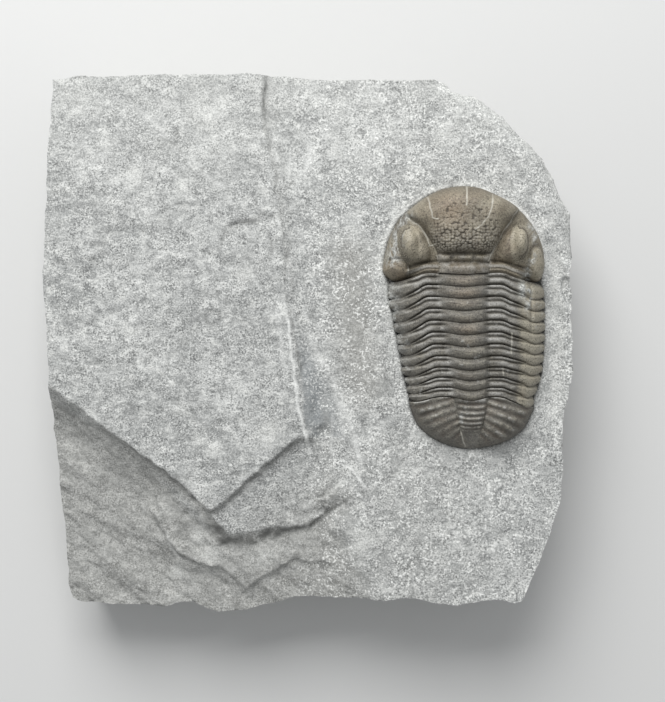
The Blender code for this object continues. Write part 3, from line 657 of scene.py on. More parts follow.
def flaky_foot(x, y, foot):
    """Relief and cracks of the foot: slanting streaks cut into steps, with dark rises."""
    streaks = rough(0.30 * (0.79 * x - 0.61 * y), 0.61 * x + 0.79 * y, 4.2, 21, 4)
    relief = foot * (0.55 * terraces(streaks, 0.45, 0.4) + 0.10 * rough(x, y, 2.4, 25))
    return relief, 0.32 * foot * rises_of(streaks, 0.45) * clamp(0.4 + rough(x, y, 2.0, 24, 3))


def splintered_break(x, y, splintered):
    """Relief and cracks of the splinters where the channel breaks off, cut into steps."""
    splinters = rough(0.28 * (0.74 * x + 0.67 * y), -0.67 * x + 0.74 * y, 2.2, 26, 3)
    return 0.9 * splintered * terraces(splinters, 0.5, 0.35), 0.8 * splintered * rises_of(splinters, 0.5)


def upper_shelves(x, y, upper):
    """Relief and cracks of the upper plate: broad shelves, and faint lines along some of them."""
    shelves = rough(0.6 * x, 1.2 * y, 9.0, 27, 5, 0.6)
    cracks_and_shade = 0.16 * upper * rises_of(shelves, 0.5) * clamp(noise(x, y, 3.0, 28) + 0.3)
    return 0.22 * upper * terraces(shelves, 0.5, 0.2), cracks_and_shade


def grain_of_face(x, y, fronts, coarse, ridged):
    """Relief all over the face: noise, rougher on fronts, coarse crystals, ridges in the channel."""
    relief = 0.13 * rough(x, y, 5.0, 3) + 0.045 * rough(x, y, 1.3, 7, 3)
    relief = relief + 0.26 * fronts * rough(x, y * 1.3, 1.9, 15, 3)
    crystals = clamp(1.0 - cells(x, y, 0.85, 31) / 0.5)
    relief = relief + 0.06 * crystals * (0.3 + 0.7 * coarse)
    return relief + 0.16 * ridged * rough(x, 0.22 * y, 1.5, 29, 3)


def lone_features(x, y):
    """Relief and darkness of the flake scar, the fine cracks and lines of painted shade, the pits and the
    ring mark.
    """
    scar = inside(x, y, FLAKE_SCAR) * ease(distance_to(x, y, FLAKE_SCAR + FLAKE_SCAR[:1]) / 0.6)
    relief, dark = -0.9 * scar, np.zeros_like(x)
    wander_x, wander_y = wandering(x, y, 0.15, 1.4, 53)
    for width, strength, line in DARK_LINES:
        crack_and_shadow = bell(distance_to(wander_x, wander_y, line), max(width, 0.3))
        relief = relief - width * crack_and_shadow
        dark = np.maximum(dark, strength * crack_and_shadow * (0.85 + 0.4 * noise(x, y, 0.9, 55)))
    for across, up, radius in PITS:
        hole = bell(np.hypot(x - across, y - up), radius)
        relief = relief - 0.35 * hole
        dark = np.maximum(dark, 0.75 * hole * clamp(0.7 + rough(x, y, 0.8, 33, 3)))
    around = np.hypot(x - RING_MARK[0], y - RING_MARK[1])
    ring = bell(around - RING_MARK[2], 0.35)
    return relief - 0.16 * ring + 0.14 * bell(around, 0.6), np.maximum(dark, 0.40 * ring)


def pale_stone_and_painted_light(x, y, signed):
    """Pale where scraped, round the fossil, in the moat, in patches and round the flake scar.

    Painted light: a highlight on the chipped rim and along the top edge, and paler towards the top.
    """
    scraped = np.where(signed < 0.0, 0.6, bell(signed - 0.7, 0.8) * (0.6 + 0.4 * noise(x, y, 2.0, 51)))
    moat = bell(x - 46.4, 2.0) * short_of(y, 20.0, 5.0) * beyond(y, -18.0, 6.0)
    ragged = 0.5 * rough(x, y, 3.0, 65, 4)
    patches = [bell(np.hypot(x - across, y - up) / radius + ragged, 0.9)
               for across, up, radius in PALE_PATCHES]
    chipped = clamp(1.3 - distance_to(x, y, CHIPPED_RIM) / 1.8)
    top_edge = bell(distance_to(x, y, SLAB_OUTLINE[:7]), 0.5)
    return np.maximum.reduce([
        0.6 * scraped,
        moat * (0.70 + 0.45 * noise(x, y, 1.2, 52)),
        0.9 * bell(distance_to(x, y, FLAKE_RIM), 0.35),
        0.85 * np.maximum.reduce(patches),
        # Painted highlight on the chipped rim's bevel
        0.75 * chipped * (0.8 + 0.4 * noise(x, y, 1.0, 66)),
        # Painted light: paler towards the top of the face
        0.42 * beyond(y, 18.0, 30.0) * (0.9 + 0.7 * rough(x, y, 5.0, 69, 4)),
        # Painted highlight along the bevel of the top edge
        0.6 * top_edge * (0.7 + 0.6 * noise(x, y, 1.6, 67)),
    ])


def chalky_lines(x, y, signed):
    """Chalk along the rim of the head and on thin wandering lines."""
    halo = bell(signed - 0.55, 0.25) * beyond(y, 16.0, 8.0)
    chalk = 0.60 * halo * clamp(0.6 + 1.2 * noise(x, y, 1.5, 64))
    wander_x, wander_y = wandering(x, y, 0.20, 2.0, 61)
    for width, strength, line in PALE_LINES:
        drawn = bell(distance_to(wander_x, wander_y, line), width)
        chalk = np.maximum(chalk, strength * drawn * (0.8 + 0.4 * noise(x, y, 0.8, 63)))
    return chalk


def stone_face(x, y):
    """Height of the slab's face and its marks, from 0 to 1.

    The marks are pale stone, scraped and with painted light, chalky lines, bluish stone, broken fronts
    with painted shade on the foot, coarse crystals, and dark cracks with painted shade.
    """
    level, fronts, cracks_and_shade, plates = face_levels(x, y)
    level = level + swell_beside_fossil(x, y)
    off_upper, off_bedding = 1.0 - plates["upper"], 1.0 - plates["bedding"]
    foot = off_upper * off_bedding * short_of(level, -0.5, 1.2)
    across, up, radius = SPLINTERED
    splintered = bell(np.hypot((x - across) / 1.2, y - up), radius) * off_upper
    coarse = clamp((x + 4.0) / 6.0) * off_upper
    channel = plates["channel"] * off_bedding
    level = level + grain_of_face(x, y, fronts, coarse, channel)
    for relief, dark in (flaky_foot(x, y, foot), splintered_break(x, y, splintered),
                         upper_shelves(x, y, plates["upper"]), lone_features(x, y)):
        level = level + relief
        cracks_and_shade = np.maximum(cracks_and_shade, dark)
    signed = from_fossil(x, y)
    level = level - POCKET_DEPTH * short_of(signed, 0.15, 0.5)
    # Darker grey zones beside the channel and towards the lower right, laid on with the broken tint
    dull = bell(x - 9.5 + 0.1 * y, 4.5) * short_of(y, 24.0, 8.0) * beyond(y, -16.0, 10.0)
    dull = dull + 0.25 * bell(x - 20.0, 14.0) * short_of(y, -12.0, 6.0)
    # On the foot the broken tint is partly painted shade, where the foot slopes away from the lamp
    broken = np.maximum.reduce([fronts, 0.8 * foot, 0.75 * splintered]) + dull
    marks = {
        "pale_and_painted_light": pale_stone_and_painted_light(x, y, signed),
        "chalk": chalky_lines(x, y, signed),
        "bluish": channel * short_of(y, 14.0, 12.0),
        "broken": broken,
        "coarse": coarse,
        "dark": cracks_and_shade * (0.8 + 0.5 * rough(x, y, 1.2, 68, 3)),
    }
    return level, {name: clamp(values) for name, values in marks.items()}


# Grid of the slab: cells along each side of its face, and rows down its walls
FACE_CELLS = 264
FINE_ROWS = np.linspace(0.985, 0.90, 6)
WALL_ROWS = np.linspace(0.86, 0.0, 18)


def patch(loop):
    """Places all over a loop of four runs with as many places each.

    They are straight lines between facing runs, both ways, less the straight-sided patch between the
    four corners.
    """
    size = len(loop) // 4
    closed = np.vstack([loop, loop[:1]])
    top, right, bottom, left = (closed[k * size:(k + 1) * size + 1] for k in range(4))
    bottom, left = bottom[::-1], left[::-1]
    u, v = np.meshgrid(np.linspace(0, 1, size + 1), np.linspace(0, 1, size + 1))
    u, v = u[..., None], v[..., None]
    down = (1 - v) * top[None] + v * bottom[None]
    along = (1 - u) * left[:, None] + u * right[:, None]
    corners = ((1 - u) * (1 - v) * top[0] + u * (1 - v) * top[-1]
               + (1 - u) * v * bottom[0] + u * v * bottom[-1])
    return down + along - corners


def ring_places(ring, turns):
    """Places on a closed ring of corners, at turns counted in corners."""
    closed = np.vstack([ring, ring[:1]])
    count = np.arange(len(closed))
    return np.stack([np.interp(turns, count, closed[:, k]) for k in (0, 1)], axis=-1)


def side_turns(rim, size):
    """Turns round the rim for each side of the face, evenly spaced along it."""
    ring = np.array(rim)
    steps = np.linalg.norm(np.roll(ring, -1, axis=0) - ring, axis=1)
    length = np.concatenate([[0.0], np.cumsum(steps)])
    starts = [rim.index(corner) for corner in FACE_CORNERS] + [len(rim)]
    return [np.interp(np.linspace(length[a], length[b], size + 1), length, np.arange(len(length)))
            for a, b in zip(starts[:-1], starts[1:])]


def course_rings(rim, turns):
    """Places round the rim and round each course of the walls, with their shares of the height.

    A course is the rim moved in by its own depth and by two waves of its corners' numbers.
    """
    corners, steps = np.array(rim), np.arange(len(rim))
    rings, shares = [corners], [1.0]
    for number, (share, inset, rough_by) in enumerate(COURSES):
        wave = np.sin(steps * 0.83 + 2.1 * number) + 0.6 * np.sin(steps * 1.91 + 1.3 * number)
        rings.append(corners - outward(rim) * (inset + rough_by * wave)[:, None])
        shares.append(share)
    return [ring_places(ring, turns) for ring in rings], shares


def wall_rows(rim, turns, normals, rim_height):
    """Each row of the walls, from the top: its share of the height, and its points.

    A row lies between the two courses around its share, pushed out and in by facets and bedding.
    Below the fine rows it keeps every second point.
    """
    rings, shares = course_rings(rim, turns)
    around = np.arange(len(turns)) * 0.37
    for number, share in enumerate(np.concatenate([FINE_ROWS, WALL_ROWS])):
        lower = min(k for k in range(1, len(shares)) if shares[k] <= share)
        blend = (shares[lower - 1] - share) / (shares[lower - 1] - shares[lower])
        ring = rings[lower - 1] + blend * (rings[lower] - rings[lower - 1])
        depth = share * rim_height
        bedding = 0.22 * noise(around * 0.15, depth + 0.4 * noise(around, depth, 6.0, 82), 1.1, 81)
        facets = 0.35 * rough(around, depth, 3.4, 83, 3) + bedding
        facets = facets * min(1.0, (1.0 - share) / 0.12) - 0.2 * min(1.0, (1.0 - share) / 0.05)
        ring = ring + normals * facets[:, None]
        level = depth + (0.5 if 0.0 < share < 0.9 else 0.0) * noise(around, depth, 2.5, 84) * share
        thin = 2 if number >= len(FINE_ROWS) else 1
        yield share, np.column_stack([ring, np.maximum(level, 0.0)])[::thin]


def underside(ring):
    """Rough underside: a patch in the lowest ring, with hollows that run out at its edge."""
    plan = patch(ring)
    u = np.linspace(0, 1, len(plan))
    away = np.minimum.reduce(np.meshgrid(np.minimum(u, 1 - u), np.minimum(u, 1 - u)))
    hollow = 0.5 + 0.5 * rough(plan[..., 0], plan[..., 1], 9.0, 91)
    return np.dstack([plan, np.maximum(hollow, 0.0) * ease(away / 0.06)])


def stone_slab(finish):
    """The slab: a fine patch for its face, broken walls in courses, and a rough underside."""
    rim = slab_rim()
    turns = np.concatenate([side[:-1] for side in side_turns(rim, FACE_CELLS)])
    normals = ring_places(outward(rim), turns)
    crumble = 0.10 * rough(turns * 3.0, 0.0 * turns, 1.1, 71) - 0.06
    plan = patch(ring_places(np.array(rim), turns) + crumble[:, None] * normals)
    height, marks = stone_face(plan[..., 0], plan[..., 1])
    marks = {name: [values.ravel()] for name, values in marks.items()}

    points = [np.dstack([plan, FACE_LEVEL + height]).reshape(-1, 3)]
    count = len(points[0])
    index = np.arange(count).reshape(plan.shape[:2])
    faces = quads(index)
    upper = edge_of(index)
    for share, row in wall_rows(rim, turns, normals, points[0][upper, 2]):
        points.append(row)
        below = count + np.arange(len(row))
        faces += band(upper, below)
        upper = below
        count += len(row)
        # Walls take the broken tint; their top rows are painted pale, a painted highlight along the rim
        row_marks = {"broken": 0.55, "pale_and_painted_light": 0.3 if share > 0.9 else 0.0}
        for name, values in marks.items():
            values.append(np.full(len(row), row_marks.get(name, 0.0)))

    bottom = underside(points[-1][::2, :2])
    points.append(bottom.reshape(-1, 3))
    index = count + np.arange(len(points[-1])).reshape(bottom.shape[:2])
    faces += quads(index[::-1])
    faces += band(upper, edge_of(index))
    for name, values in marks.items():
        values.append(np.full(index.size, 0.7 if name == "broken" else 0.0))
    marks = {name: np.concatenate(values) for name, values in marks.items()}
    return new_piece("slab_of_limestone", np.vstack(points), faces, marks, finish,
                     "matrix_slab", sharp=70.0)


def flat_foot(points):
    """Foot of a plate's wall, on the flat underside."""
    foot = points.copy()
    foot[:, 2] = FACE_LEVEL + UNDERSIDE
    return foot


def closed_plate(name, grid, foot, marks, finish, node):
    """A plate from a grid of points, with a wall from its edge to its foot and a ruled back."""
    row_count, column_count = grid.shape[:2]
    index = np.arange(row_count * column_count).reshape(row_count, column_count)
    rim = edge_of(index)
    top = grid.reshape(-1, 3)
    below = len(top) + np.arange(len(rim))
    faces = quads(index) + band(rim, below)
    last = column_count - 1
    rear = last + row_count - 1
    for k in range(last):
        faces.append([below[k], below[k + 1], below[rear + last - k - 1], below[rear + last - k]])
    faces.append(below[last:rear + 1].tolist())
    faces.append(np.concatenate([below[rear + last:], below[:1]]).tolist())
    points = np.vstack([top, foot(top[rim])])
    flat = {mark: values.ravel() for mark, values in marks.items()}
    marks = {mark: np.concatenate([values, values[rim]]) for mark, values in flat.items()}
    return new_piece(name, points, faces, marks, finish, node)


def spread(flank, pleura, axis):
    """Stations from the left tip to the right one, with a number of steps on each stretch."""
    outer, inner = np.linspace(-3.0, -2.0, flank + 1), np.linspace(-2.0, -1.0, pleura + 1)
    left = np.concatenate([outer[:-1], inner[:-1]])
    return np.concatenate([left, np.linspace(-1.0, 1.0, axis + 1), -left[::-1]])


def shell_marks(x, y, vein_width=0.11, **given):
    """Marks of the shell's finish, from 0 to 1.

    They are light crests, worn and painted as highlights; dark hollows, mostly painted shade; tan and rusty
    shell; stone that clings; and veins.
    """
    names = ("crest", "hollow", "tan", "rust", "stone")
    marks = {name: clamp(given.get(name, 0.0) + 0.0 * x) for name in names}
    marks["vein"] = clamp(vein_mark(x, y, vein_width))
    return marks


# Veins of white calcite across the shell, as colour: runs of places on the face
VEINS = [
    [(22.2, 27.5), (22.4, 25.1), (22.9, 23.3), (23.8, 23.1)],
    [(29.5, 29.9), (29.0, 27.4), (28.9, 25.4)],
    [(34.1, 27.7), (33.6, 25.7), (33.3, 24.4), (32.6, 23.1), (31.6, 21.8), (30.6, 21.0)],
    [(39.2, 25.4), (38.0, 24.0), (37.4, 22.7), (36.3, 21.6),
     (35.5, 20.0), (34.3, 17.9), (33.8, 16.9), (33.3, 15.5)],
    [(18.3, 24.6), (19.0, 23.3), (19.6, 22.6), (20.4, 22.4), (21.1, 21.3), (21.9, 20.0), (22.6, 18.6)],
    [(22.4, 18.3), (23.5, 18.7)],
    [(18.6, 14.8), (18.7, 13.2)],
    [(28.6, -16.0), (28.9, -16.9), (29.3, -18.3), (29.6, -19.1)],
    [(37.6, 2.3), (37.6, 0.2), (37.6, -1.7)],
    [(36.1, -4.1), (36.2, -5.6)],
]


def vein_mark(x, y, width):
    """Veins, thin and a little wandering."""
    wander_x, wander_y = wandering(x, y, 0.10, 0.9, 101)
    nearest = np.full(np.shape(x), 9.0)
    for line in VEINS:
        nearest = np.minimum(nearest, distance_to(wander_x, wander_y, line))
    return 0.9 * bell(nearest, width) * (0.75 + 0.4 * noise(x, y, 0.5, 103))


# Stone left on the fossil, on the face: a patch with its half sizes, and lines
STONE_PATCH = (39.6, 10.2, 0.75, 1.7)
STONE_IN_GROOVE = [(41.5, 22.0), (42.5, 19.0), (41.6, 16.0), (40.8, 13.0), (41.0, 6.5)]
STONE_ON_CHEEK = [(18.2, 24.0), (16.8, 21.0), (16.2, 18.0), (15.8, 15.8)]
STONE_ON_FLANK = [(-12.0, 14.7), (0.0, 15.8), (6.0, 17.0), (10.0, 18.6)]


def clinging_stone(x, y, rise=0.0):
    """Grains of the matrix on the fossil: a patch and a groove on its right, dust along its left.

    The line of the dust is given as how far across it lies at each place down the face. Grains move
    with the rise too, so that they don't smear down a steep side.
    """
    grains = clamp(0.5 + 0.9 * rough(x + 0.7 * rise, y + 0.7 * rise, 0.7, 111, 3))
    across, up, half_width, half_length = STONE_PATCH
    patched = 1.3 * bell(np.hypot((x - across) / half_width, (y - up) / half_length), 0.9)
    groove = 1.05 * bell(distance_to(x, y, STONE_IN_GROOVE), 0.7)
    cheek = 0.75 * bell(distance_to(x, y, STONE_ON_CHEEK), 1.3)
    dusty = 1.1 * bell(x - np.interp(-y, *zip(*STONE_ON_FLANK)), 1.7)
    dusty = dusty * short_of(y, 13.0, 3.0) * beyond(y, -11.0, 6.0)
    spots = 0.4 * clamp(2.5 * (rough(x, y, 1.1, 114, 3) - 0.85)) * short_of(y, 10.0, 4.0)
    return clamp(patched + (groove + cheek + dusty) * grains + spots)


def trench_share(way):
    """Share of a plate's length at which its furrow lies, further forwards on the outer flank."""
    return 0.37 - 0.17 * beyond(way, 1.9, 0.7)


def thorax_relief(station, share):
    """Relief over the arch along one plate, front to back.

    On the axis, a rounded ring with a sunken front. On the inner flank, a narrow front band, a
    furrow and a broad round band behind it. On the outer flank, one smooth rounded lobe.
    """
    way = np.abs(station)
    ring = 0.12 - 0.72 * short_of(share, 0.45, 0.45) - 0.66 * clamp((share - 0.55) / 0.45) ** 2
    trench = trench_share(way)
    along = clamp((share - trench) / (1.0 - trench))
    rear = 0.22 * np.sin(np.pi * along ** 0.8) - 0.75 * beyond(along, 0.70, 0.30)
    pleura = rear - 0.65 * short_of(share, 0.13, 0.13) - 0.36 * bell(share - trench, 0.085)
    left_tip = 0.15 - 0.55 * short_of(share, 0.45, 0.45) - 0.75 * clamp((share - 0.55) / 0.45) ** 2
    right_tip = 0.20 - 1.0 * short_of(share, 0.42, 0.42) - 0.30 * clamp((share - 0.6) / 0.4) ** 2
    tip = np.where(station > 0.0, right_tip, left_tip) + 0.25 * bell(station - 2.75, 0.25)
    relief = ring + beyond(way, 0.75, 0.4) * (pleura - ring)
    relief = relief + beyond(way, 2.25, 0.4) * (tip - relief)
    return relief - 0.26 * bell(way - 1.1, 0.2)


def plate_plan(number, station, share):
    """Plan of one plate, between its two joints, with rounded tips and an uneven left end."""
    round_tip = 1.0 - np.sqrt(1.0 - clamp((np.abs(station) - 2.66) / 0.34) ** 2)
    lobe = (0.32 if number < SEGMENTS else 0.096) * bell(station - 2.62, 0.2)
    front = joint_back(number - 1, station) - 0.10 + 0.65 * round_tip
    rear = joint_back(number, station) + 0.06 - 0.80 * round_tip + lobe
    back = front + share * (rear - front)
    across = across_at(station, back)
    left_end = short_of(station, -2.4, 0.3)
    return across + 0.35 * left_end ** 2 * noise(across, back, 1.5, 119), back


def plate_marks(station, share, x, y, streaks, stone):
    """Marks of a plate: light bands, worn and painted as highlights, painted shade in the joints and the
    furrow, tan tips and a rusty middle.
    """
    way = np.abs(station)
    trench = trench_share(way)
    right, left_end = beyond(station, 0.0, 0.4), short_of(station, -2.4, 0.3)
    inner = beyond(way, 0.85, 0.3) * short_of(way, 2.3, 0.35)
    tips = beyond(station, 2.1, 0.35)
    curl = short_of(station, -1.95, 0.25) * bell(share - trench - 0.12, 0.09)
    wear = clamp(0.72 + 0.75 * rough(0.45 * x, y, 0.9, 150, 3))
    # Light lines and bands on the crests: wear, and painted highlights
    lines = inner * ((1.1 - 0.35 * right) * bell(share - 0.12, 0.06) + 0.40 * bell(share - 0.24, 0.08))
    bands = inner * 0.62 * bell(share - 0.60, 0.17) + 0.40 * bell(way - 0.95, 0.2) * bell(share - 0.5, 0.3)
    crest = (lines + bands + 0.55 * curl) * wear + 0.08 * streaks
    # Painted shade in the gaps at the joints
    joints = 0.8 * short_of(share, 0.12, 0.10) + 0.8 * beyond(share, 0.84, 0.15)
    joints = joints * (1.0 - 0.1 * short_of(way, 1.1, 0.2) - 0.20 * right)
    joints = joints + 0.35 * short_of(share, 0.3, 0.2) * beyond(station, 2.2, 0.2)
    # Painted shade in the pleural furrow
    furrow = (0.70 - 0.25 * right) * bell(share - trench, 0.07)
    furrow = furrow * beyond(way, 0.95, 0.3) * short_of(way, 2.45, 0.3)
    shade = 0.35 * left_end * clamp(0.5 + noise(x, y, 1.2, 158)) * (1.0 - right)
    shade = shade + 0.13 * short_of(way, 1.2, 0.4) + 0.06
    middle = bell(station, 0.6) * bell(share - 0.55, 0.35)
    tan = 1.15 * tips + 0.36 * middle + 0.35 * curl + 0.14 * noise(x, y, 2.5, 155) + 0.12 * streaks
    rust = 0.5 * middle * clamp(0.4 + noise(x, y, 3.0, 156)) + 0.25 * tips * clamp(noise(x, y, 2.0, 157))
    return shell_marks(x, y, crest=crest * (1.0 - 0.75 * tips), hollow=joints + furrow + shade,
                       tan=tan, rust=rust, stone=stone)


def thorax_plate(number, finish):
    """One plate of the thorax, whose front is tucked under the rear edge of the one before."""
    rows = np.concatenate([np.linspace(0.0, 0.5, 21)[:-1], np.linspace(0.5, 1.0, 17)])
    station, share = np.meshgrid(spread(60, 44, 84), rows)
    across, back = plate_plan(number, station, share)
    x, y = place(across, back)
    left_end = short_of(station, -2.4, 0.3)
    streaks = rough(0.35 * x, 1.5 * y, 0.8, 121, 4)
    stone = clinging_stone(x, y)
    relief = thorax_relief(station, share) - 0.35 * short_of(number, 5.5, 2.0) * bell(station - 2.57, 0.05)
    relief = relief + 0.05 * streaks + 0.05 * rough(x, y, 1.6, 130, 3)
    relief = relief + left_end * 0.22 * rough(x, y, 1.1, 134, 3)
    relief = relief + 0.22 * stone * (0.7 + 0.4 * noise(x, y, 0.5, 140))
    grid = np.dstack([x, y, FACE_LEVEL + arch(station, back) + relief])
    marks = plate_marks(station, share, x, y, streaks, stone)
    name, node = f"thorax_plate_{number:02d}", f"thorax_segment_{number:02d}"
    return closed_plate(name, grid, flat_foot, marks, finish, node)


def head_rear(station):
    """Rear edge of the head: the joint, turned forwards in a quarter circle at each genal corner."""
    corner = clamp((np.abs(station) - 2.45) / 0.55)
    reach = np.where(station < 0.0, 1.9, 1.2)
    return joint_back(0, station) - reach * (1.0 - np.sqrt(1.0 - corner ** 2))


def head_plan(station, share):
    """Curved runs from the head's outline back to the thorax.

    Each is a quadratic curve from a place on the outline to the joint, bent so that stations -1 and
    1 follow the furrows on both sides of the glabella.
    """
    way = np.abs(station)
    rim = head_rim(station)
    joint_at = head_rear(station)
    joint = (across_at(station, joint_at), joint_at)
    bend = (joint[0] * (0.85 + 0.085 * np.clip(way - 1.0, 0.0, 2.0)), rim[1] + 0.64 * (joint[1] - rim[1]))
    return [(1 - share) ** 2 * r + 2 * share * (1 - share) * b + share ** 2 * j
            for r, b, j in zip(rim, bend, joint)]


def oval(across, back, shape):
    """0 in the middle of a leaning oval of the fossil's plan, 1 on its outline."""
    (middle, level), (half_width, half_length), lean, taper, _ = shape
    behind = back - level
    side = np.abs(across - middle - lean * behind) / (half_width * (1.0 + taper * behind))
    return (side ** 2.3 + np.abs(behind / half_length) ** 2.3) ** (1 / 2.3)


def lump(across, back, shape, power=3.6, round_off=0.5):
    """A dome over a leaning oval, 1 at its top."""
    return dome(oval(across, back, shape), power, round_off)


def glabella(across, back):
    """Place across the glabella: 0 on its middle, 1 on the furrows beside it."""
    left, right = smooth_run(GLABELLA_SIDES, 1, back), smooth_run(GLABELLA_SIDES, 2, back)
    return np.abs(across - 0.5 * (left + right)) / (0.5 * (right - left))


def rim_distance(across, back):
    """Distance of a place on the head from its outline."""
    shares = np.linspace(0.0, 1.0, 13)[1:-1]
    runs = [head_plan(np.linspace(-2.2, -3.0, 14), 1.0), head_plan(-3.0, shares[::-1]),
            head_plan(np.linspace(-3.0, 3.0, 61), 0.0), head_plan(3.0, shares),
            head_plan(np.linspace(3.0, 2.5, 8), 1.0)]
    line = [point for run in runs for point in zip(run[0].tolist(), run[1].tolist())]
    return distance_to(across, back, line)


def rounded_edge(distance, width, power):
    """0 on an outline, rising like the side of a cushion to 1 at some width inside it."""
    return (1.0 - (1.0 - clamp(distance / width)) ** power) ** (1.0 / power)


def mirrored_bells(across, left, right, left_width, right_width):
    """1 at a distance left of the midline and at one right of it, each falling off over its width."""
    return bell(across + left, left_width) + bell(across - right, right_width)


def middle_height(way, across, back, edge, from_rim, neck):
    """Glabella, with the small lobes, slits and furrows behind it, and the neck ring.

    The crown's profile is spread over the width as a dome, down to the furrows' own profile.
    """
    crown = smooth_run(CROWN_PROFILE, 1, back)
    nodes = 0.80 * mirrored_bells(across, 2.15, 1.9, 0.36, 0.36) * bell(back - 13.75, 0.60)
    slits = 0.5 * mirrored_bells(across, 3.1, 3.3, 1.0, 1.1) * bell(back - 12.95, 0.28)
    furrow = np.interp(back, *zip(*FURROW_PROFILE))
    middle = furrow + (crown - nodes - slits - furrow) * dome(way, 3.0, 0.6)
    middle = edge + (middle - edge) * rounded_edge(from_rim, 4.6, 2.5)
    middle = middle + ROLL * across * rounded_edge(from_rim, 5.0, 2.0)
    ring = neck + (crown - AXIS_HEIGHT) * (1.0 - 0.5 * beyond(way, 0.6, 0.5))
    return middle + beyond(back, 14.35, 0.35) * (ring - middle)


def cheek_height(way, across, back, edge, from_rim, to_joint, neck, border_end):
    """Cheeks: a cushion from the rim up, a wall along the glabella, and the border at the rear."""
    cheek = edge + (CHEEK_HEIGHT - edge) * rounded_edge(from_rim, 4.4, 2.2)
    cheek = cheek + ROLL * across * rounded_edge(from_rim, 5.0, 2.0)
    cheek = cheek + 1.5 * bell(way - 1.0, 0.22) * beyond(back, 5.0, 4.0)
    border = neck - 0.45 * short_of(to_joint, 0.5, 0.5) - 0.18 * bell(to_joint - 0.75, 0.16)
    border = edge + (border - edge) * rounded_edge(from_rim, 3.0, 2.0)
    cheek = cheek + (border - cheek) * short_of(to_joint, 2.0, 0.5) * border_end
    return cheek - 0.40 * bell(to_joint - 2.1, 0.3) * ease(from_rim / 3.0) * border_end


def border_ends(across):
    """1 on the rear border between the genal lobes, 0 past its ends."""
    return beyond(across, -10.9, 1.2) * short_of(across, 13.6, 1.2)


def head_height(station, across, back):
    """Cheeks, glabella with its neck rings, eyes and genal lobes, the highest at each place."""
    way, from_rim = glabella(across, back), rim_distance(across, back)
    to_joint, edge = joint_back(0, station) - back, flank_edge(station)
    neck = arch(station, HEAD_BACK)
    middle = middle_height(way, across, back, edge, from_rim, neck)
    cheek = cheek_height(way, across, back, edge, from_rim, to_joint, neck, border_ends(across))
    height = cheek + short_of(way, 1.03, 0.06) * (middle - cheek)
    tilt = ROLL * across * rounded_edge(from_rim, 5.0, 2.0)
    for number, shape in enumerate(EYE_LUMPS):
        upper = number % 2
        rise = lump(across, back, shape, *EYE_DOME) if upper else lump(across, back, shape)
        height = blend_up(height, (shape[-1] + tilt) * rise, 1.8 if upper else 0.7)
    for shape in GENAL_LUMPS:
        radius = oval(across, back, shape)
        height = height - 0.45 * bell(radius - 1.12, 0.18) * ease(from_rim / 1.2)
        rise = dome(radius, 2.1, 0.5) * rounded_edge(from_rim, 2.9, 1.7)
        height = blend_up(height, edge + (shape[-1] - edge) * rise, 0.5)
    return height


class HeadPlaces:
    """A grid of places all over the head, and what its relief and its marks both need there."""

    def __init__(self):
        self.station, share = np.meshgrid(spread(62, 62, 150), np.linspace(0.0, 1.0, 225) ** 1.05)
        self.across, self.back = across, back = head_plan(self.station, share)
        self.x, self.y = place(across, back)
        self.way = glabella(across, back)
        self.from_rim = rim_distance(across, back)
        self.to_joint = joint_back(0, self.station) - back
        self.smooth = head_height(self.station, across, back)
        # Patterns move with the height too, so that they don't smear down the steep sides
        self.skin = self.x + 0.7 * self.smooth, self.y + 0.7 * self.smooth
        self.eyes = [lump(across, back, shape) for shape in EYE_LUMPS]
        self.lobes = [lump(across, back, shape) for shape in GENAL_LUMPS]
        self.outside = beyond(self.way, 0.97, 0.06)
        self.rings = short_of(self.way, 1.12, 0.1) * beyond(back, 13.0, 0.3)
        front = 3.0 + 0.003 * (across - 0.1) ** 4
        self.crown = short_of(self.way, 1.05, 0.12) * beyond(back, front, 1.3) * short_of(back, 12.9, 0.4)
        self.strong = beyond(back, 6.5, 5.5)
        self.stone = clinging_stone(self.x, self.y, self.smooth)


def tubercles(head):
    """Round tubercles all over the crown and the dark pits between them, from 0 to 1.

    They are the middles and the outskirts of scattered cells. The cells are laid out down the sides
    and the rear as well as along, so that they keep their size on the slopes.
    """
    across, back = head.across, head.back
    bent = 0.14 * noise(across, back, 1.3, 161)
    down_side = np.sign(across) * 2.2 * (1.0 - dome(head.way, 3.0, 0.6))
    summit, top = CROWN_PROFILE[1]
    down_rear = 0.7 * (top - smooth_run(CROWN_PROFILE, 1, back)) * (back > summit)
    spots = cells(across + down_side + bent, 1.1 * (back + down_rear) - bent, 0.66, 160)
    pits = clamp((spots - 0.48 + 0.02 * head.strong) / (0.13 + 0.07 * head.strong))
    pits = pits * clamp(0.65 + 1.4 * noise(head.x, head.y, 0.48, 162) + 0.1 * head.strong)
    return dome(spots / 0.62, 1.8, 0.9), pits


def head_relief(head, tubercle, pits):
    """Relief over the head: tubercles and pits on the crown, pimples and noise elsewhere."""
    relief = head.crown * ((0.03 + 0.15 * head.strong) * (tubercle - 0.5) - 0.09 * pits)
    pimples = clamp(1.0 - cells(*head.skin, 0.40, 165) / 0.5)
    relief = relief + (1.0 - head.crown) * 0.02 * pimples + 0.05 * rough(*head.skin, 2.2, 166, 4)
    relief = relief + 0.10 * head.rings * rough(head.x, 0.6 * head.y, 1.3, 168, 3)
    return relief * rounded_edge(head.from_rim, 0.8, 2.0) + 0.18 * head.stone


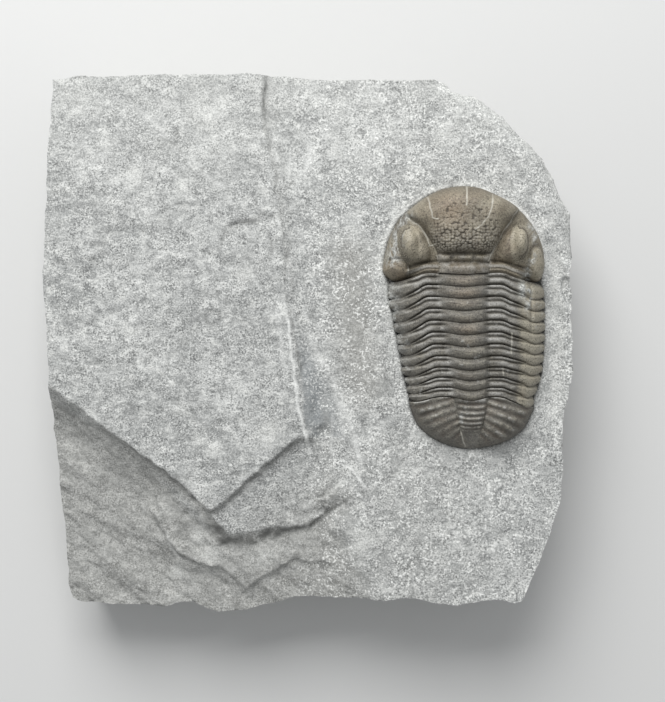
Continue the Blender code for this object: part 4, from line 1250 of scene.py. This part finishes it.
def head_hollows(head, tubercle, pits, ring, preneck, inner_eye, eye_skin):
    """Dark marks of the head: painted shade in pits, furrows, slots and the fold before the border, round the
    lobes and on shaded sides, with a darker front and patchy colour.
    """
    across, back, way, outside = head.across, head.back, head.way, head.outside
    inside_furrows = 1.0 - outside
    # Painted shade in the pits between tubercles and on the steep rear of the glabella
    dark = head.crown * (0.12 + 0.42 * head.strong) * clamp(1.0 - 1.7 * tubercle) + 0.80 * head.crown * pits
    dark = dark + 0.12 * head.crown * head.strong ** 2 + 0.10 * preneck
    # Painted shade in the slots behind the glabella; the front of the glabella is darker in colour
    slots = mirrored_bells(across, 2.15, 1.9, 0.4, 0.4) * bell(back - 13.75, 0.5)
    dark = dark + inside_furrows * (0.55 * slots + 0.38 * short_of(back, 3.6, 3.2))
    # Painted shade in the furrows before and behind the neck rings
    dark = dark + inside_furrows * (0.8 * bell(back - 12.9, 0.2) + 0.5 * bell(back - 14.45, 0.16))
    # Painted shadow in the fold under the eyes and round the genal lobes
    fold = bell(head.to_joint - 2.15, 0.28) * outside * (1.0 - head.lobes[0]) * (1.0 - head.lobes[1])
    round_lobes = sum(bell(oval(across, back, shape) - 1.08, 0.12) for shape in GENAL_LUMPS)
    dark = dark + 0.55 * fold + 0.35 * round_lobes * ease(head.from_rim / 0.8)
    # Painted shade in the axial furrows and in the gap at the head's rear edge
    beside = bell(way - 1.0, 0.045) * beyond(back, 4.0, 3.0) * short_of(back, 14.4, 0.6)
    dark = dark + 0.4 * beside + short_of(head.to_joint, 0.14, 0.14)
    patchy = clamp(0.5 + 1.2 * rough(*head.skin, 1.0, 177, 4))
    left_cheek = short_of(across, -9.5, 1.5) * (1.0 - head.eyes[0]) * short_of(back, 15.0, 1.5)
    dark = dark + (0.55 * left_cheek + 0.20 * head.lobes[0] + 0.04 * head.lobes[1]) * patchy
    # Painted shade on the rear of the left genal lobe
    dark = dark + 0.15 * head.lobes[0] * beyond(back, 16.2, 1.4)
    dark = dark + 0.30 * short_of(across, -8.0, 3.0) * (1.0 - head.eyes[0]) * short_of(back, 9.0, 3.0)
    # Painted shade on the rear of the left eye, less dark on its skin
    dark = dark + 0.20 * head.eyes[0] * beyond(back, 12.5, 2.0) - 0.10 * eye_skin
    return dark + 0.10 * inner_eye + 0.14 * ring


def head_marks(head, tubercle, pits):
    """Marks of the head: light tubercle tops and border, worn and painted as highlights, painted shade, tan
    eyes and lobes, rusty spots.
    """
    across, back, way = head.across, head.back, head.way
    eyes, lobes, inside_furrows = head.eyes, head.lobes, 1.0 - head.outside
    border = head.outside * short_of(head.to_joint, 2.0, 0.4) * border_ends(across)
    ring = inside_furrows * beyond(back, 14.4, 0.4)
    preneck = inside_furrows * bell(back - 13.7, 0.75)
    inner_eye = eyes[2] * (1.0 - eyes[3]) * short_of(across, 9.6, 1.5)
    eye_skin = clamp(sum(eyes)) * rough(*head.skin, 1.1, 176, 4)
    # Painted highlights on the tops of the tubercles, the border and the neck ring, with some wear
    crest = head.crown * (0.16 + 0.44 * head.strong) * tubercle ** 3
    crest = crest + 0.65 * bell(head.to_joint - 1.2, 0.28) * border
    crest = crest + 0.45 * bell(back - 15.0, 0.3) * inside_furrows * beyond(way, 0.4, 0.3)
    crest = crest + head.rings * (0.30 + 0.30 * rough(head.x, head.y, 0.9, 172, 3))
    tan = 0.42 + 0.45 * eyes[1] + 0.15 * eyes[0] * (1.0 - eyes[1]) + 0.75 * eyes[3] + 0.15 * eyes[2]
    tan = tan + 0.25 * eyes[2] * beyond(back, 12.0, 2.5) + 0.22 * eye_skin
    tan = tan + 0.05 * lobes[0] + 0.65 * lobes[1] - 0.38 * ring - 0.30 * border - 0.1 * preneck
    tan = tan + 0.24 * rough(*head.skin, 2.5, 171, 4)
    warm = bell(np.hypot(across + 2.6, 0.9 * (back - 5.2)), 3.0)
    rust = 0.75 * warm + 0.4 * lobes[0] + 0.25 * ring * bell(across + 0.5, 2.0) + 0.30 * inner_eye
    rust = rust + 0.2 * clamp(noise(*head.skin, 2.0, 173))
    hollow = head_hollows(head, tubercle, pits, ring, preneck, inner_eye, eye_skin)
    return shell_marks(head.x, head.y, crest=crest, hollow=hollow, tan=tan, rust=rust, stone=head.stone)


def head_shield(finish):
    """The head shield: coarse tubercles on the rear of the glabella, smooth eyes and cheeks."""
    head = HeadPlaces()
    tubercle, pits = tubercles(head)
    height = head.smooth + head_relief(head, tubercle, pits)
    grid = np.dstack([head.x, head.y, FACE_LEVEL + height])
    marks = head_marks(head, tubercle, pits)
    return closed_plate("head_shield_shell", grid, flat_foot, marks, finish, "head_shield")


# Lenses of an eye, on the outer wall of its lump
LENS_ROWS = 5
LENS_WIDTH = 0.56
LENSES_START = 4.6
LENSES_END = 0.80
LENS_ARC = math.radians(100.0)
EYE_WALL_RADIUS = 2.8


def lens_band(name, shape, side, finish):
    """Rows of round lenses on the outer wall of an eye.

    The wall is the oval of the eye's lump at each height, the radius where its dome is that high.
    Lenses stand on it in rows, each row set half a lens along from the one below.
    """
    (middle, level_back), (half_width, half_length), lean, taper, top = shape
    turn, rise = np.meshgrid(np.linspace(-1.0, 1.0, 241), np.linspace(0.0, 1.0, 49))
    band_height = LENSES_END * top - LENSES_START
    level = LENSES_START + rise * band_height
    power, round_off = EYE_DOME
    radius = (1.0 - (level / top) ** (1 / round_off)) ** (1 / power)
    angle = LENS_ARC * turn
    row = np.floor(LENS_ROWS * rise * 0.9999)
    along = angle * EYE_WALL_RADIUS / LENS_WIDTH + 0.5 * (row % 2)
    from_middle = (along % 1.0 - 0.5) * LENS_WIDTH
    above_middle = (LENS_ROWS * rise - row - 0.5) * band_height / LENS_ROWS
    lens = dome(np.hypot(from_middle, above_middle) / 0.25, 2.0, 0.5) * ease((1.0 - np.abs(turn)) / 0.06)
    out = radius + (0.22 + 0.14 * lens) / EYE_WALL_RADIUS
    behind = half_length * out * np.sign(angle) * np.abs(np.sin(angle)) ** (1 / 1.15)
    bulge = np.sign(np.cos(angle)) * np.abs(np.cos(angle)) ** (1 / 1.15)
    across = middle + lean * behind + side * half_width * (1.0 + taper * behind) * out * bulge
    x, y = place(across, level_back + behind)
    grid = np.dstack([x, y, FACE_LEVEL + level * (top + ROLL * across) / top])
    centre = np.array([*place(middle, level_back), 0.0])

    def foot(points):
        """Foot of the band's wall: its edge, drawn in towards the eye's middle."""
        inner = centre + 0.82 * (points - centre)
        inner[:, 2] = points[:, 2]
        return inner

    # Painted shade between the lenses and painted highlights on their tops
    marks = shell_marks(x, y, hollow=0.60 * (1.0 - lens), tan=0.35 + 0.3 * lens, crest=0.15 * lens)
    return closed_plate(name, grid, foot, marks, finish, "head_shield")


def tail_plan(station, share):
    """Rows that start along the joint with the thorax and swing round to the tail's outline.

    Each row is a quadratic curve from a place on the midline to a place on the outline.
    """
    way = np.abs(station)
    joint_at = joint_back(SEGMENTS, station) - 0.05
    joint = (across_at(station, TAIL_FRONT), joint_at)
    start = TAIL_FRONT + 0.35
    ring_back = start + (TAIL_FRONT + TAIL_LENGTH - start) * share
    side = np.where(station < 0.0, -1.0, 1.0)
    rim_across, rim_back = tail_rim(side * np.radians(90.0 - 74.0 * share ** 0.85))
    smooth_way = np.sqrt(way ** 2 + 0.04) - 0.2
    way_out = 0.25 * clamp(smooth_way / 0.82) + 0.375 * np.clip(way - 1.0, 0.0, 2.0)
    bend = (0.62 * rim_across, ring_back + 0.3 * (rim_back - ring_back))
    near, mid, far = (1 - way_out) ** 2, 2 * way_out * (1 - way_out), way_out ** 2
    swung = (mid * bend[0] + far * rim_across, near * ring_back + mid * bend[1] + far * rim_back)
    turn = ease(share / 0.3)
    return [j + turn * (s - j) for j, s in zip(joint, swung)]


def rib_number(across, back):
    """Which rib of the tail lies at a place: a whole number on its crest, a half in a furrow.

    A rib leaves the midline at its own pitch and runs back at its own slope, which grows from rib to
    rib, so its number is found by trying again with the slope of the last try.
    """
    number = (back - RIB_START) / RIB_PITCH
    for _ in range(16):
        slope = RIB_SLOPE * np.exp(RIB_SLOPE_GROWTH * (number - 1.0))
        found = (back - RIB_START - np.abs(across) * slope) / RIB_PITCH
        number = np.clip(0.5 * number + 0.5 * found, -2.0, 8.0)
    return number


def tail_waves(across, back, x, y, from_rim, beside, flank):
    """Height of the tail's rings and ribs, from -1 in their furrows to 1 on their crests."""
    bow = 0.25 * dome(beside, 2.0, 1.0)
    ring = np.interp(back - bow, TAIL_RING_BACKS, np.arange(len(TAIL_RING_BACKS)))
    ring_wave = np.cos(2.0 * np.pi * ring) * short_of(back, 46.8, 2.0) * (1.0 - flank)
    rib_wave = np.cos(2.0 * np.pi * rib_number(across, back)) * flank * short_of(back, 48.4, 1.6)
    rib_wave = rib_wave * (0.85 + 0.6 * noise(x, y, 1.8, 187))
    return (ring_wave + rib_wave) * beyond(from_rim, 0.35, 1.5)


def tail_height(station, share, back, beside, wave):
    """Height of the tail: the thorax's arch, running out to the rim, with its axis, rings and ribs."""
    way, edge = np.abs(station), flank_edge(station)
    flat = np.where(station < 0.0, -1.0, 1.0) * np.maximum(way, 1.1)
    base = arch(flat, TAIL_FRONT) + ROLL * (across_at(station, TAIL_FRONT) - across_at(flat, TAIL_FRONT))
    base = base + short_of(share, 0.25, 0.25) * (arch(station, TAIL_FRONT) - base)
    height = edge + (base - edge) * (1.0 - share ** 2.1) ** 0.8
    height = height + dome(beside, 2.4, 0.6) * short_of(back, 47.4, 4.0) * ease(share / 0.25)
    furrow = bell(beside - 1.0, 0.14) * short_of(back, 47.3, 1.6)
    return height + (0.17 * wave - 0.20 * furrow) * ease(share / 0.05)


def tail_marks(across, back, x, y, share, from_rim, flank, wave):
    """Marks of the tail: speckled crests with painted highlights, painted shade in the furrows, at the front
    joint and along the rim, tan ribs, grains of stone.
    """
    streaks = rough(x, y, 0.7, 182, 4)
    wear = clamp(0.75 + 0.7 * rough(x, y, 1.1, 184, 3))
    speckled = clamp(0.45 + 1.2 * rough(x, y, 0.5, 188, 3))
    # Painted highlights on the crests of the rings and ribs, and along the front edge
    crest = 0.80 * clamp(wave) ** 3 * wear * speckled + 0.10 * streaks
    crest = crest + (0.5 * bell(share - 0.03, 0.02) + 0.15 * (1.0 - flank)) * wear
    crest = crest + 0.5 * bell(np.hypot((across - 3.0) / 1.6, back - 39.9), 0.7) * clamp(0.6 + streaks)
    # Painted shade in the furrows and in the gap at the front joint
    hollow = 0.62 * clamp(0.12 - wave + 0.2 * streaks) + short_of(share, 0.012, 0.012)
    # Painted shade on the right of the rim; a dark brown patch at the left front corner
    hollow = hollow + 0.20 * bell(np.hypot(across - 9.3, 0.8 * (back - 45.6)), 2.2)
    hollow = hollow + 0.35 * bell(np.hypot(across + 8.6, 1.3 * (back - 42.6)), 1.8)
    # Painted shade along the rim
    hollow = hollow + 0.25 * bell(from_rim, 0.5)
    tan = 0.08 + 0.25 * clamp(wave) + 0.16 * streaks
    rust = 0.35 * clamp(-wave) * clamp(0.6 + noise(x, y, 2.2, 185)) + 0.2 * clamp(noise(x, y, 1.4, 186))
    dots = sum(bell(np.hypot(x - dot_x, y - dot_y), radius) for dot_x, dot_y, radius in TAIL_STONE_DOTS)
    stone = 0.8 * dots + 0.4 * clinging_stone(x, y)
    return shell_marks(x, y, 0.12, crest=crest, hollow=hollow, tan=tan, rust=rust, stone=stone)


def tail_shield(finish):
    """The tail shield: rings on the axis, ribs on both sides, and a smooth rim."""
    station, share = np.meshgrid(spread(54, 54, 84), np.linspace(0.0, 1.0, 150))
    across, back = tail_plan(station, share)
    x, y = place(across, back)
    rim = tail_rim(np.radians(np.linspace(-90.0, 90.0, 61)))
    from_rim = distance_to(across, back, list(zip(rim[0].tolist(), rim[1].tolist())))
    beside = np.abs(across - 0.3) / np.interp(back, *zip(*TAIL_AXIS_HALVES))
    flank = beyond(beside, 0.8, 0.35)
    wave = tail_waves(across, back, x, y, from_rim, beside, flank)
    height = tail_height(station, share, back, beside, wave) + 0.05 * rough(x, y, 1.4, 181, 4)
    marks = tail_marks(across, back, x, y, share, from_rim, flank, wave)
    grid = np.dstack([x, y, FACE_LEVEL + height])
    return closed_plate("tail_shield_shell", grid, flat_foot, marks, finish,
                        "tail_shield")


class Finish:
    """A material and a short way to add its nodes."""

    def __init__(self, name):
        self.material = bpy.data.materials.new(name)
        self.material.use_nodes = True
        self.tree = self.material.node_tree
        self.shader = self.tree.nodes["Principled BSDF"]
        self.places = self.tree.nodes.new("ShaderNodeTexCoord").outputs["Object"]

    def put(self, value, socket):
        """Link a node's output to a socket, or set the socket to a value."""
        if isinstance(value, bpy.types.NodeSocket):
            self.tree.links.new(value, socket)
        else:
            socket.default_value = value

    def put_on_shader(self, value, socket_name):
        """Link or set a socket of the shader."""
        self.put(value, self.shader.inputs[socket_name])

    def streaked(self, turn, stretch):
        """Places turned by an angle in degrees and squeezed along X, so that patterns run long there."""
        node = self.tree.nodes.new("ShaderNodeMapping")
        self.put(self.places, node.inputs["Vector"])
        node.inputs["Rotation"].default_value = (0.0, 0.0, math.radians(turn))
        node.inputs["Scale"].default_value = (stretch, 1.0, 1.0)
        return node.outputs["Vector"]

    def noise(self, size, detail=3.0, roughness=0.5, distortion=0.0, places=None):
        """Noise from 0 to 1 with features of a size in millimetres."""
        node = self.tree.nodes.new("ShaderNodeTexNoise")
        self.put(places or self.places, node.inputs["Vector"])
        node.inputs["Scale"].default_value = 1.0 / (size * MM)
        node.inputs["Detail"].default_value = detail
        node.inputs["Roughness"].default_value = roughness
        node.inputs["Distortion"].default_value = distortion
        return node.outputs["Fac"]

    def mark(self, name):
        """One of the mesh's own marks, from 0 to 1."""
        node = self.tree.nodes.new("ShaderNodeAttribute")
        node.attribute_name = name
        return node.outputs["Fac"]

    def maths(self, operation, *values):
        """Sum, product or another operation on values."""
        node = self.tree.nodes.new("ShaderNodeMath")
        node.operation = operation
        for value, socket in zip(values, node.inputs):
            self.put(value, socket)
        return node.outputs[0]

    def times(self, value, factor):
        """Product of two values."""
        return self.maths("MULTIPLY", value, factor)

    def between(self, value, low, high):
        """0 at the low value and 1 at the high one, eased between."""
        node = self.tree.nodes.new("ShaderNodeMapRange")
        node.interpolation_type = "SMOOTHSTEP"
        self.put(value, node.inputs["Value"])
        node.inputs["From Min"].default_value = low
        node.inputs["From Max"].default_value = high
        return node.outputs["Result"]

    def mix(self, share, under, over):
        """A colour laid over another by a share."""
        node = self.tree.nodes.new("ShaderNodeMix")
        node.data_type = "RGBA"
        self.put(share, node.inputs["Factor"])
        for value, socket in ((under, node.inputs[6]), (over, node.inputs[7])):
            self.put(value if isinstance(value, bpy.types.NodeSocket) else (*value, 1.0), socket)
        return node.outputs[2]

    def bump(self, height, depth, strength=1.0, under=None):
        """Bump of a depth in millimetres, over another one if that is given."""
        node = self.tree.nodes.new("ShaderNodeBump")
        node.inputs["Strength"].default_value = strength
        node.inputs["Distance"].default_value = depth * MM
        self.put(height, node.inputs["Height"])
        if under is not None:
            self.put(under, node.inputs["Normal"])
        return node.outputs["Normal"]


# Colours as linear red, green and blue: of the stone, of what lies on the shell, and of the floor
STONE_TONES = {
    "grey": (0.345, 0.352, 0.344),
    "light_grey": (0.455, 0.462, 0.450),
    "dark_mottle": (0.215, 0.220, 0.217),
    "light_mottle": (0.640, 0.645, 0.620),
    "light_streak": (0.720, 0.725, 0.700),
    "dark_streak": (0.190, 0.195, 0.192),
    "dark_grain": (0.120, 0.123, 0.120),
    "light_grain": (0.760, 0.765, 0.740),
    "bluish": (0.250, 0.268, 0.278),
    # Broken stone, also used for painted shade on the foot
    "broken": (0.262, 0.256, 0.234),
    # Scraped stone, also used for painted light at the top and along the rims
    "scraped": (0.70, 0.705, 0.675),
    "crystal": (0.86, 0.865, 0.835),
    "chalk": (0.83, 0.835, 0.81),
    # Cracks, also used for painted shadows and shade under ledges
    "crack_and_shadow": (0.105, 0.106, 0.100),
}
SHELL_TONES = {
    "rust": (0.255, 0.165, 0.100),
    # Greyish wear, also the colour of painted highlights on crests
    "worn_and_highlight": (0.47, 0.465, 0.44),
    # Painted shade in hollows, gaps and on shaded sides, with some dark patches
    "hollow": (0.040, 0.034, 0.028),
    "vein": (0.58, 0.56, 0.49),
    "dark_stone": (0.22, 0.225, 0.215),
    "light_stone": (0.66, 0.665, 0.63),
}
HEAD_BROWN, HEAD_TAN = (0.150, 0.131, 0.098), (0.345, 0.312, 0.240)
THORAX_BROWN, THORAX_TAN = (0.142, 0.134, 0.116), (0.340, 0.315, 0.250)
FLOOR_TONE = (0.64, 0.64, 0.63, 1.0)
SKY_TONE = (0.96, 0.98, 1.0, 1.0)


def limestone_colour(finish):
    """Grey stone: cloudy and streaked, grainy in places, with white crystals in clusters.

    It is paler where scraped and where light is painted, bluish in the channel, duller where broken
    and on painted shade, and dark on cracks and painted shadows. Each tint is laid over what is there,
    by a share times its strength.
    """
    clouds = finish.noise(9.0, 5.0, 0.62)
    mottle = finish.noise(1.9, 5.0, 0.68, 0.5)
    streaks = finish.noise(0.9, 4.0, 0.65, 0.3, finish.streaked(-38.0, 0.4))
    grain = finish.noise(0.30, 3.0, 0.7)
    grainy = finish.maths("MULTIPLY_ADD", finish.between(finish.noise(3.2, 3.0, 0.6), 0.36, 0.62), 0.50, 0.45)
    dusty = finish.maths("MULTIPLY_ADD", finish.between(grain, 0.42, 0.58), 0.6, 0.5)
    clusters = finish.between(finish.noise(3.0, 3.0, 0.65), 0.34, 0.60)
    often = finish.maths("MULTIPLY_ADD", finish.mark("coarse"), 0.60, 0.20)
    tints = [
        ("dark_mottle", finish.between(mottle, 0.50, 0.36), 0.72),
        ("light_mottle", finish.between(mottle, 0.52, 0.66), 0.80),
        ("light_streak", finish.between(streaks, 0.55, 0.68), 0.70),
        ("dark_streak", finish.between(streaks, 0.46, 0.33), 0.60),
        ("dark_grain", finish.between(grain, 0.49, 0.36), grainy),
        ("light_grain", finish.between(grain, 0.52, 0.63), finish.times(grainy, 0.85)),
        ("bluish", finish.mark("bluish"), 0.62),
        ("broken", finish.mark("broken"), 0.52),
        # Scraped tint, also painted light: paler towards the top, and highlights along the top and chipped
        # rims
        ("scraped", finish.times(finish.mark("pale_and_painted_light"), dusty), 0.72),
        ("crystal", finish.times(finish.between(finish.noise(0.42, 2.0, 0.5), 0.53, 0.64), clusters), often),
        ("chalk", finish.mark("chalk"), 0.95),
        # Dark tint of cracks and of painted shadows and shade
        ("crack_and_shadow", finish.mark("dark"), 0.80),
    ]
    colour = finish.mix(finish.between(clouds, 0.38, 0.62), STONE_TONES["grey"], STONE_TONES["light_grey"])
    for tone, share, strength in tints:
        colour = finish.mix(finish.times(share, strength), colour, STONE_TONES[tone])
    return colour


def limestone():
    """Fine grained grey limestone, speckled with crystals."""
    finish = Finish("limestone")
    coarse_bump = finish.bump(finish.noise(1.3, 5.0, 0.6), 0.22)
    fine_bump = finish.bump(finish.noise(0.28, 3.0, 0.6), 0.08, 0.9, coarse_bump)
    finish.put_on_shader(limestone_colour(finish), "Base Color")
    finish.put_on_shader(0.9, "Roughness")
    finish.put_on_shader(0.2, "Specular IOR Level")
    finish.put_on_shader(fine_bump, "Normal")
    return finish.material


def shell(name, dark, tan, worn_and_highlight_strength):
    """Calcite shell: dark brown, tan and rusty in patches, greyish where worn and with painted highlights on
    crests, dark with painted shade in its hollows, gaps and shaded sides.
    """
    finish = Finish(name)
    blotches = finish.maths("SUBTRACT", finish.noise(1.7, 4.0, 0.6), 0.5)
    grain = finish.noise(0.26, 3.0, 0.6)
    tan_share = finish.maths("ADD", finish.mark("tan"), finish.times(blotches, 0.9))
    worn_and_highlight = finish.times(finish.mark("crest"), finish.between(grain, 0.22, 0.55))
    stone_grain = finish.between(finish.noise(0.35, 3.0, 0.6), 0.35, 0.65)
    stone = finish.mix(stone_grain, SHELL_TONES["dark_stone"], SHELL_TONES["light_stone"])
    tints = [
        (tan, finish.between(tan_share, 0.0, 1.0)),
        (SHELL_TONES["rust"], finish.times(finish.mark("rust"), 0.55)),
        (tuple(0.45 * part for part in dark), finish.between(grain, 0.50, 0.30)),
        (tuple(1.45 * part for part in tan), finish.times(finish.between(grain, 0.54, 0.70), 0.35)),
        # Greyish crests: wear, and painted highlights
        (SHELL_TONES["worn_and_highlight"], finish.times(worn_and_highlight, worn_and_highlight_strength)),
        # Painted shade in hollows, joints and on shaded sides, with some dark patches
        (SHELL_TONES["hollow"], finish.times(finish.mark("hollow"), 0.78)),
        (SHELL_TONES["vein"], finish.mark("vein")),
        (stone, finish.mark("stone")),
    ]
    colour = dark
    for tone, share in tints:
        colour = finish.mix(share, colour, tone)
    finish.put_on_shader(colour, "Base Color")
    finish.put_on_shader(finish.maths("ADD", 0.42, finish.times(finish.noise(0.5), 0.3)), "Roughness")
    finish.put_on_shader(0.4, "Specular IOR Level")
    finish.put_on_shader(finish.bump(finish.noise(0.22, 3.0, 0.6), 0.04, 0.8), "Normal")
    return finish.material


def floor():
    """Plain pale floor under the slab."""
    finish = Finish("pale_floor")
    finish.put_on_shader(FLOOR_TONE, "Base Color")
    finish.put_on_shader(0.8, "Roughness")
    mesh = bpy.data.meshes.new("floor")
    corners = [(side_x * FLOOR_HALF, side_y * FLOOR_HALF, 0.0)
               for side_x, side_y in ((-1, -1), (1, -1), (1, 1), (-1, 1))]
    mesh.from_pydata(corners, [], [(0, 1, 2, 3)])
    mesh.materials.append(finish.material)
    made = bpy.data.objects.new("floor", mesh)
    bpy.context.scene.collection.objects.link(made)


def soft_light(name, spot, power, size):
    """A square lamp at a spot in metres, turned to the middle of the slab."""
    lamp = bpy.data.lights.new(name, "AREA")
    lamp.energy = power
    lamp.size = size
    made = bpy.data.objects.new(name, lamp)
    made.location = spot
    made.rotation_mode = "QUATERNION"
    made.rotation_quaternion = (Vector(KEY_AIM) - Vector(spot)).to_track_quat("-Z", "Y")
    bpy.context.scene.collection.objects.link(made)


def studio():
    """Soft light from the slab's top edge, an even sky, and the camera straight over the face."""
    scene = bpy.context.scene
    scene.view_settings.view_transform = "Standard"
    world = bpy.data.worlds.new("studio")
    world.use_nodes = True
    sky = world.node_tree.nodes["Background"]
    sky.inputs["Color"].default_value = SKY_TONE
    sky.inputs["Strength"].default_value = SKY_STRENGTH
    scene.world = world
    soft_light("key", KEY_SPOT, KEY_POWER, KEY_SIZE)
    view = bpy.data.cameras.new("camera")
    view.sensor_width = SENSOR
    view.lens = SENSOR * CAMERA_OVER_FACE / (FRAME_HEIGHT * FACE_MM_PER_PIXEL)
    view.clip_start = 0.01
    camera = bpy.data.objects.new("camera", view)
    camera.location = (CAMERA_ACROSS * MM, CAMERA_UP * MM, (FACE_LEVEL + CAMERA_OVER_FACE) * MM)
    scene.collection.objects.link(camera)
    scene.camera = camera


def main():
    """Studio, floor, slab and every piece of the fossil."""
    studio()
    floor()
    stone_slab(limestone())
    brown = shell("shell_of_head", HEAD_BROWN, HEAD_TAN, 0.70)
    dark_brown = shell("shell_of_thorax", THORAX_BROWN, THORAX_TAN, 0.95)
    head_shield(brown)
    lens_band("lenses_of_left_eye", EYE_LUMPS[1], -1.0, brown)
    lens_band("lenses_of_right_eye", EYE_LUMPS[3], 1.0, brown)
    for number in range(1, SEGMENTS + 1):
        thorax_plate(number, dark_brown)
    tail_shield(dark_brown)


main()
